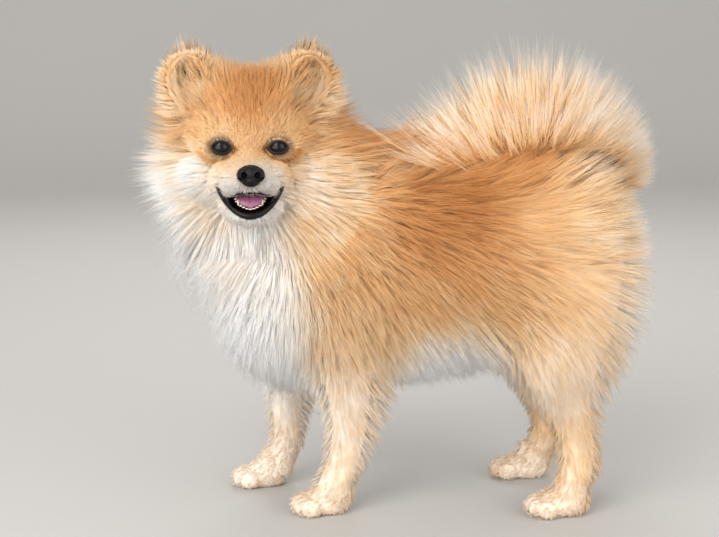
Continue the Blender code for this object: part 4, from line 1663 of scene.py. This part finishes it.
def scattered_points(growth, entry):
    """Points on the skin, each with its own directions, length and shade."""
    inputs = {"Mesh": entry["Skin"], "Density": growth.named("density"), "Seed": entry["Seed"]}
    points = growth.node("GeometryNodeDistributePointsOnFaces", None, inputs, "Points")
    place = growth.node("GeometryNodeInputPosition")
    inputs = {"Vector": place, "Scale": entry["Lock Scale"], "Detail": 1.5}
    locks = growth.node("ShaderNodeTexNoise", None, inputs, "Color")
    leaning = growth.scaled(growth.vector("SUBTRACT", locks, (0.5, 0.5, 0.5)), entry["Lean"])
    stray = growth.random((-1, -1, -1), (1, 1, 1), STRAY_SEED, "FLOAT_VECTOR")
    stray = growth.scaled(stray, entry["Stray"])
    root = growth.vector("ADD", growth.way("root_way"), growth.scaled(stray, 0.6))
    tip = growth.vector("ADD", growth.vector("ADD", growth.way("tip_way"), stray), leaning)
    for name, way in (("root_way", root), ("tip_way", tip)):
        points = growth.store(points, name, "FLOAT_VECTOR", "POINT", growth.vector("NORMALIZE", way))
    share = growth.random(0.0, 1.0, LENGTH_SEED)
    between = growth.maths("SUBTRACT", entry["Longest"], entry["Shortest"])
    factor = growth.maths("MULTIPLY_ADD", share, between, entry["Shortest"])
    reach = growth.maths("MULTIPLY", growth.named("reach"), factor)
    points = growth.store(points, "reach", "FLOAT", "POINT", reach)
    return growth.store(points, "tuft", "FLOAT", "POINT", growth.random(0.0, 1.0, SHADE_SEED))


def planted_tufts(growth, entry, points):
    """A straight tuft on each point, standing along the root's direction."""
    inputs = {"Vector": growth.way("root_way")}
    facing = growth.node("FunctionNodeAlignRotationToVector", {"axis": "Z"}, inputs)
    spin = growth.combine(Z=growth.random(0.0, 2 * math.pi, SPIN_SEED))
    spin = growth.node("FunctionNodeEulerToRotation", None, {"Euler": spin})
    inputs = {"Rotation": facing, "Rotate By": spin}
    turned = growth.node("FunctionNodeRotateRotation", {"rotation_space": "LOCAL"}, inputs)
    width = growth.maths("MULTIPLY", growth.named("width"), entry["Thickness"])
    inputs = {"Collection": entry["Tufts"], "Separate Children": True, "Reset Children": True}
    inputs = {
        "Points": points,
        "Instance": growth.node("GeometryNodeCollectionInfo", None, inputs),
        "Pick Instance": True,
        "Instance Index": growth.random(0, 1000, SHAPE_SEED, "INT"),
        "Rotation": turned,
        "Scale": growth.combine(X=width, Y=width, Z=growth.named("reach")),
    }
    placed = growth.node("GeometryNodeInstanceOnPoints", None, inputs)
    return growth.node("GeometryNodeRealizeInstances", None, {"Geometry": placed})


def bent_tufts(growth, solid):
    """Bends each tuft from its root's direction towards its tip's."""
    along = growth.named("along")
    bend = growth.vector("SUBTRACT", growth.way("tip_way"), growth.way("root_way"))
    bend = growth.scaled(bend, growth.maths("MULTIPLY", growth.maths("MULTIPLY", along, along), 0.5))
    offset = growth.scaled(bend, growth.named("reach"))
    return growth.node("GeometryNodeSetPosition", None, {"Geometry": solid, "Offset": offset})


def mapped_tufts(growth, entry, solid):
    """Stores which way the coat faces round each tuft, and the tuft's own patch of the skin's map."""
    outer = growth.node("GeometryNodeObjectInfo", None, {"Object": entry["Outer Form"]}, "Geometry")
    inputs = {"Mesh": outer, "Value": growth.way("surface_way")}
    facing = growth.node("GeometryNodeSampleNearestSurface", {"data_type": "FLOAT_VECTOR"}, inputs)
    solid = growth.store(solid, "outward", "FLOAT_VECTOR", "POINT", facing)
    patch = growth.combine(X=growth.named("strand"), Y=growth.named("along"))
    patch = growth.scaled(growth.vector("SUBTRACT", patch, (0.5, 0.5, 0.0)), PATCH)
    spot = growth.vector("ADD", growth.way("root_map"), patch)
    return growth.store(solid, "OFBake", "FLOAT2", "CORNER", spot)


def coat_tree():
    """Tufts grown on the skin's points by the directions and lengths stored there."""
    growth = Growth("coat")
    tree = growth.tree
    for name, kind, default in (
        ("Skin", "NodeSocketGeometry", None),
        ("Tufts", "NodeSocketCollection", None),
        ("Outer Form", "NodeSocketObject", None),
        ("Seed", "NodeSocketInt", 0),
        ("Thickness", "NodeSocketFloat", 1.0),
        ("Lean", "NodeSocketFloat", 0.3),
        ("Lock Scale", "NodeSocketFloat", 60.0),
        ("Stray", "NodeSocketFloat", 0.1),
        ("Shortest", "NodeSocketFloat", 0.75),
        ("Longest", "NodeSocketFloat", 1.05),
        ("Material", "NodeSocketMaterial", None),
    ):
        growth.input(name, kind, default)
    tree.interface.new_socket("Coat", in_out="OUTPUT", socket_type="NodeSocketGeometry")
    entry = tree.nodes.new("NodeGroupInput").outputs
    solid = bent_tufts(growth, planted_tufts(growth, entry, scattered_points(growth, entry)))
    solid = mapped_tufts(growth, entry, solid)
    solid = growth.node("GeometryNodeSetMaterial", None, {"Geometry": solid, "Material": entry["Material"]})
    tree.links.new(solid, tree.nodes.new("NodeGroupOutput").inputs["Coat"])
    return tree


def set_inputs(modifier, values):
    """Sets a modifier's inputs by the identifiers of the tree's named sockets."""
    for item in modifier.node_group.interface.items_tree:
        if item.item_type == "SOCKET" and item.in_out == "INPUT" and item.name in values:
            modifier[item.identifier] = values[item.name]


# Area, triangles, strands in a tuft, spread of a tuft in strand widths, share of the strands' width,
# lean of the locks, how fine the locks are, how far hair strays, and its shortest and longest share
COAT_AREAS = (
    ("face", 180000, 4, 1.6, 0.95, 0.10, 160.0, 0.13, 0.85, 1.25),
    ("cheeks", 190000, 5, 2.8, 0.58, 0.14, 90.0, 0.12, 0.84, 1.16),
    ("ears", 95000, 4, 2.0, 0.70, 0.22, 120.0, 0.18, 0.80, 1.25),
    ("ruff", 190000, 5, 4.6, 0.38, 0.30, 55.0, 0.15, 0.94, 1.20),
    ("mane", 155000, 5, 4.6, 0.40, 0.46, 48.0, 0.20, 0.76, 1.18),
    ("chest", 120000, 5, 4.6, 0.40, 0.30, 55.0, 0.16, 0.90, 1.20),
    ("flank_left", 110000, 5, 4.6, 0.40, 0.48, 50.0, 0.20, 0.76, 1.14),
    ("flank_right", 70000, 5, 4.6, 0.46, 0.32, 60.0, 0.20, 0.76, 1.14),
    ("rump", 125000, 5, 4.6, 0.40, 0.46, 50.0, 0.20, 0.78, 1.18),
    ("tail", 130000, 4, 4.8, 0.36, 0.42, 50.0, 0.26, 0.86, 1.28),
    ("legs", 115000, 5, 2.8, 0.60, 0.18, 110.0, 0.17, 0.90, 1.28),
    ("paws", 75000, 4, 1.8, 0.86, 0.16, 150.0, 0.22, 0.85, 1.25),
)

# Share of each strand's own shading, against that of the coat round it
OWN_SHADING = {"face": 0.42, "paws": 0.66, "legs": 0.38}
OTHER_SHADING = 0.26

# Different tufts in each area, and triangles in one strand
TUFT_SHAPES = 6
STRAND_TRIANGLES = 6

# Height over the floor that no hair goes below
LOWEST_HAIR = 0.0003

# Length in metres below which hair grows no closer together, and how fast longer hair thins out
SHORTEST_SPACED = 0.003
SPACING_POWER = 0.7

# What the skin's points carry only for the coat to grow by, and what is left of it on the coat
GROWING_ATTRIBUTES = ("grow", "root_way", "tip_way", "reach", "width", "area")
WORKING_ATTRIBUTES = (*GROWING_ATTRIBUTES, "outward", "density", "root_map", "wet")

WHITE_AREAS = ("chest", "legs", "paws")
CREAM_AREAS = ("tail", "cheeks", "ruff")


class POMERANIAN_OT_coat(bpy.types.Operator):
    """Grow the coat on the skin, one piece for each area"""

    bl_idname = "pomeranian.coat"
    bl_label = "Coat"

    def execute(self, context):
        settings = context.scene.pomeranian_coat
        skin = bpy.data.objects.get("skin")
        if skin is None:
            raise RuntimeError("the coat needs the skin: make it first")
        outer = bpy.data.objects["outer form"]
        shading, colour = hair_shading("coat", settings, 0.55)
        shading.feed("Base Color", colour)
        tree = coat_tree()
        ground = skin.data.copy()
        self.carry_map(ground)
        names = list(skin["areas"])
        area = numbers_of(ground, "area")
        spaced = np.maximum(numbers_of(ground, "reach"), SHORTEST_SPACED) ** SPACING_POWER
        grow = numbers_of(ground, "grow")
        sizes = self.vertex_areas(ground)
        for order, row in enumerate(COAT_AREAS):
            name, triangles, strands = row[:3]
            if name not in names:
                raise RuntimeError("no part of the skin grows the coat of the " + name)
            mask = grow * (area == names.index(name)) / spaced
            wanted = triangles * settings.share / (strands * STRAND_TRIANGLES)
            put_attribute(ground, "density", mask * wanted / max((mask * sizes).sum(), 1e-9))
            seed = settings.seed + order
            piece = self.grow_piece(context, tree, ground, outer, row, seed, shading.material)
            self.soften(piece.data, OWN_SHADING.get(name, OTHER_SHADING))
            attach(piece, "root")
        bpy.data.meshes.remove(ground)
        drop(outer)
        for name in GROWING_ATTRIBUTES:
            skin.data.attributes.remove(skin.data.attributes[name])
        return {"FINISHED"}

    def slot_of(self, name):
        if name in WHITE_AREAS:
            return "white_coat"
        return "cream_coat" if name in CREAM_AREAS else "orange_coat"

    def carry_map(self, ground):
        """The skin's unwrap as a vector that the points can read."""
        flat = np.zeros(len(ground.loops) * 2, np.float32)
        ground.uv_layers["OFBake"].data.foreach_get("uv", flat)
        vectors = np.zeros((len(ground.loops), 3), np.float32)
        vectors[:, :2] = flat.reshape(-1, 2)
        attribute = ground.attributes.new("root_map", "FLOAT_VECTOR", "CORNER")
        attribute.data.foreach_set("vector", vectors.ravel())

    def vertex_areas(self, mesh):
        """Share of the surface round each vertex."""
        sizes = np.zeros(len(mesh.vertices))
        for face in mesh.polygons:
            share = face.area / len(face.vertices)
            for vert in face.vertices:
                sizes[vert] += share
        return sizes

    def grow_piece(self, context, tree, ground, outer, row, seed, material):
        name, _, strands, spread, *numbers = row
        random = np.random.default_rng(seed)
        collection = bpy.data.collections.new("tufts of the " + name)
        for _ in range(TUFT_SHAPES):
            collection.objects.link(tuft_form(random, strands, spread))
        piece = new_piece("coat_" + name, ground)
        modifier = piece.modifiers.new("coat", "NODES")
        modifier.node_group = tree
        values = dict(zip(("Thickness", "Lean", "Lock Scale", "Stray", "Shortest", "Longest"), numbers))
        values.update({"Tufts": collection, "Outer Form": outer, "Seed": seed, "Material": material})
        set_inputs(modifier, values)
        depsgraph = context.evaluated_depsgraph_get()
        mesh = bpy.data.meshes.new_from_object(piece.evaluated_get(depsgraph))
        piece.modifiers.clear()
        piece.data = mesh
        mesh.name = piece.name
        for item in list(collection.objects):
            drop(item)
        bpy.data.collections.remove(collection)
        return piece

    def soften(self, mesh, own_share):
        """Turns each strand's shading towards the surface of the coat round it."""
        points = points_of(mesh)
        points[:, 2] = np.maximum(points[:, 2], LOWEST_HAIR)
        mesh.vertices.foreach_set("co", points.ravel())
        mesh.shade_smooth()
        own = points_of(mesh, "vertex_normals", "vector")
        outward = np.zeros(len(mesh.vertices) * 3, np.float32)
        mesh.attributes["outward"].data.foreach_get("vector", outward)
        blended = unit(own * own_share + outward.reshape(-1, 3) * (1 - own_share))
        mesh.normals_split_custom_set_from_vertices(blended.tolist())
        for name in WORKING_ATTRIBUTES:
            attribute = mesh.attributes.get(name)
            if attribute is not None:
                mesh.attributes.remove(attribute)


class POMERANIAN_OT_whiskers(bpy.types.Operator):
    """Set the whiskers in the muzzle and the few long hairs over the eyes"""

    bl_idname = "pomeranian.whiskers"
    bl_label = "Whiskers"

    def execute(self, context):
        random = np.random.default_rng(41)
        hairs = []
        for side in (-1, 1):
            for row, count in enumerate((4, 5, 4)):
                for index in range(count):
                    root = (side * (11.5 + 1.6 * index), 27.0 - 3.4 * index, -21.5 - 3.6 * row)
                    way = Vector((side * (0.55 + 0.12 * index), 0.35 - 0.16 * index, 0.10 - 0.22 * row))
                    hairs.append(self.hair(random, root, way, 17 + 2.4 * index, 0.10))
            for index in range(4):
                root = (side * (15 + 3.2 * index), 6.5 - 0.7 * index, 8.5 + 0.6 * index)
                hairs.append(self.hair(random, root, Vector((side * 0.25, 0.5, 0.8)), 9, 0.07))
        whiskers = join(hairs)
        shading = Shading("whisker", roughness=0.35)
        dark, pale = linear(60, 44, 36), linear(214, 200, 184)
        shading.feed("Base Color", shading.mix(shading.noise(300.0), dark, pale))
        finish_form(whiskers, "whiskers", shading.material, "white_coat")
        return {"FINISHED"}

    def hair(self, random, root, way, length, radius):
        """A thin tapering hair, in the head's millimetres, drooping a little."""
        way = way.normalized()
        steps = 7
        droop = random.uniform(0.05, 0.22)
        path = []
        radii = []
        for step in range(steps):
            t = step / (steps - 1)
            point = Vector(root) + way * length * t - Vector((0, 0.25, 1)) * length * droop * t * t
            path.append(in_head(*point))
            radii.append(radius / 1000 * (1 - 0.9 * t))
        return tube(path, radii, sides=5)


PIECE_OPERATORS = (
    POMERANIAN_OT_stage,
    POMERANIAN_OT_skin,
    POMERANIAN_OT_eyes,
    POMERANIAN_OT_nose,
    POMERANIAN_OT_mouth,
    POMERANIAN_OT_claws,
    POMERANIAN_OT_whiskers,
    POMERANIAN_OT_coat,
)
SETTINGS = {
    "pomeranian_stage": PomeranianStage,
    "pomeranian_skin": PomeranianSkin,
    "pomeranian_face": PomeranianFace,
    "pomeranian_coat": PomeranianCoat,
}


class POMERANIAN_PT_panel(bpy.types.Panel):
    """Settings and steps of the dog"""

    bl_label = "Pomeranian"
    bl_space_type = "VIEW_3D"
    bl_region_type = "UI"
    bl_category = "Pomeranian"

    def draw(self, context):
        for name, group in SETTINGS.items():
            box = self.layout.box()
            for key in group.__annotations__:
                box.prop(getattr(context.scene, name), key)
        for operator in PIECE_OPERATORS:
            self.layout.operator(operator.bl_idname)


def register():
    for item in (*SETTINGS.values(), *PIECE_OPERATORS, POMERANIAN_PT_panel):
        bpy.utils.register_class(item)
    for name, group in SETTINGS.items():
        setattr(bpy.types.Scene, name, bpy.props.PointerProperty(type=group))


def unregister():
    for name in SETTINGS:
        delattr(bpy.types.Scene, name)
    for item in reversed((*SETTINGS.values(), *PIECE_OPERATORS, POMERANIAN_PT_panel)):
        bpy.utils.unregister_class(item)


def main():
    register()
    for operator in PIECE_OPERATORS:
        category, name = operator.bl_idname.split(".")
        getattr(getattr(bpy.ops, category), name)()


if __name__ == "__main__":
    main()
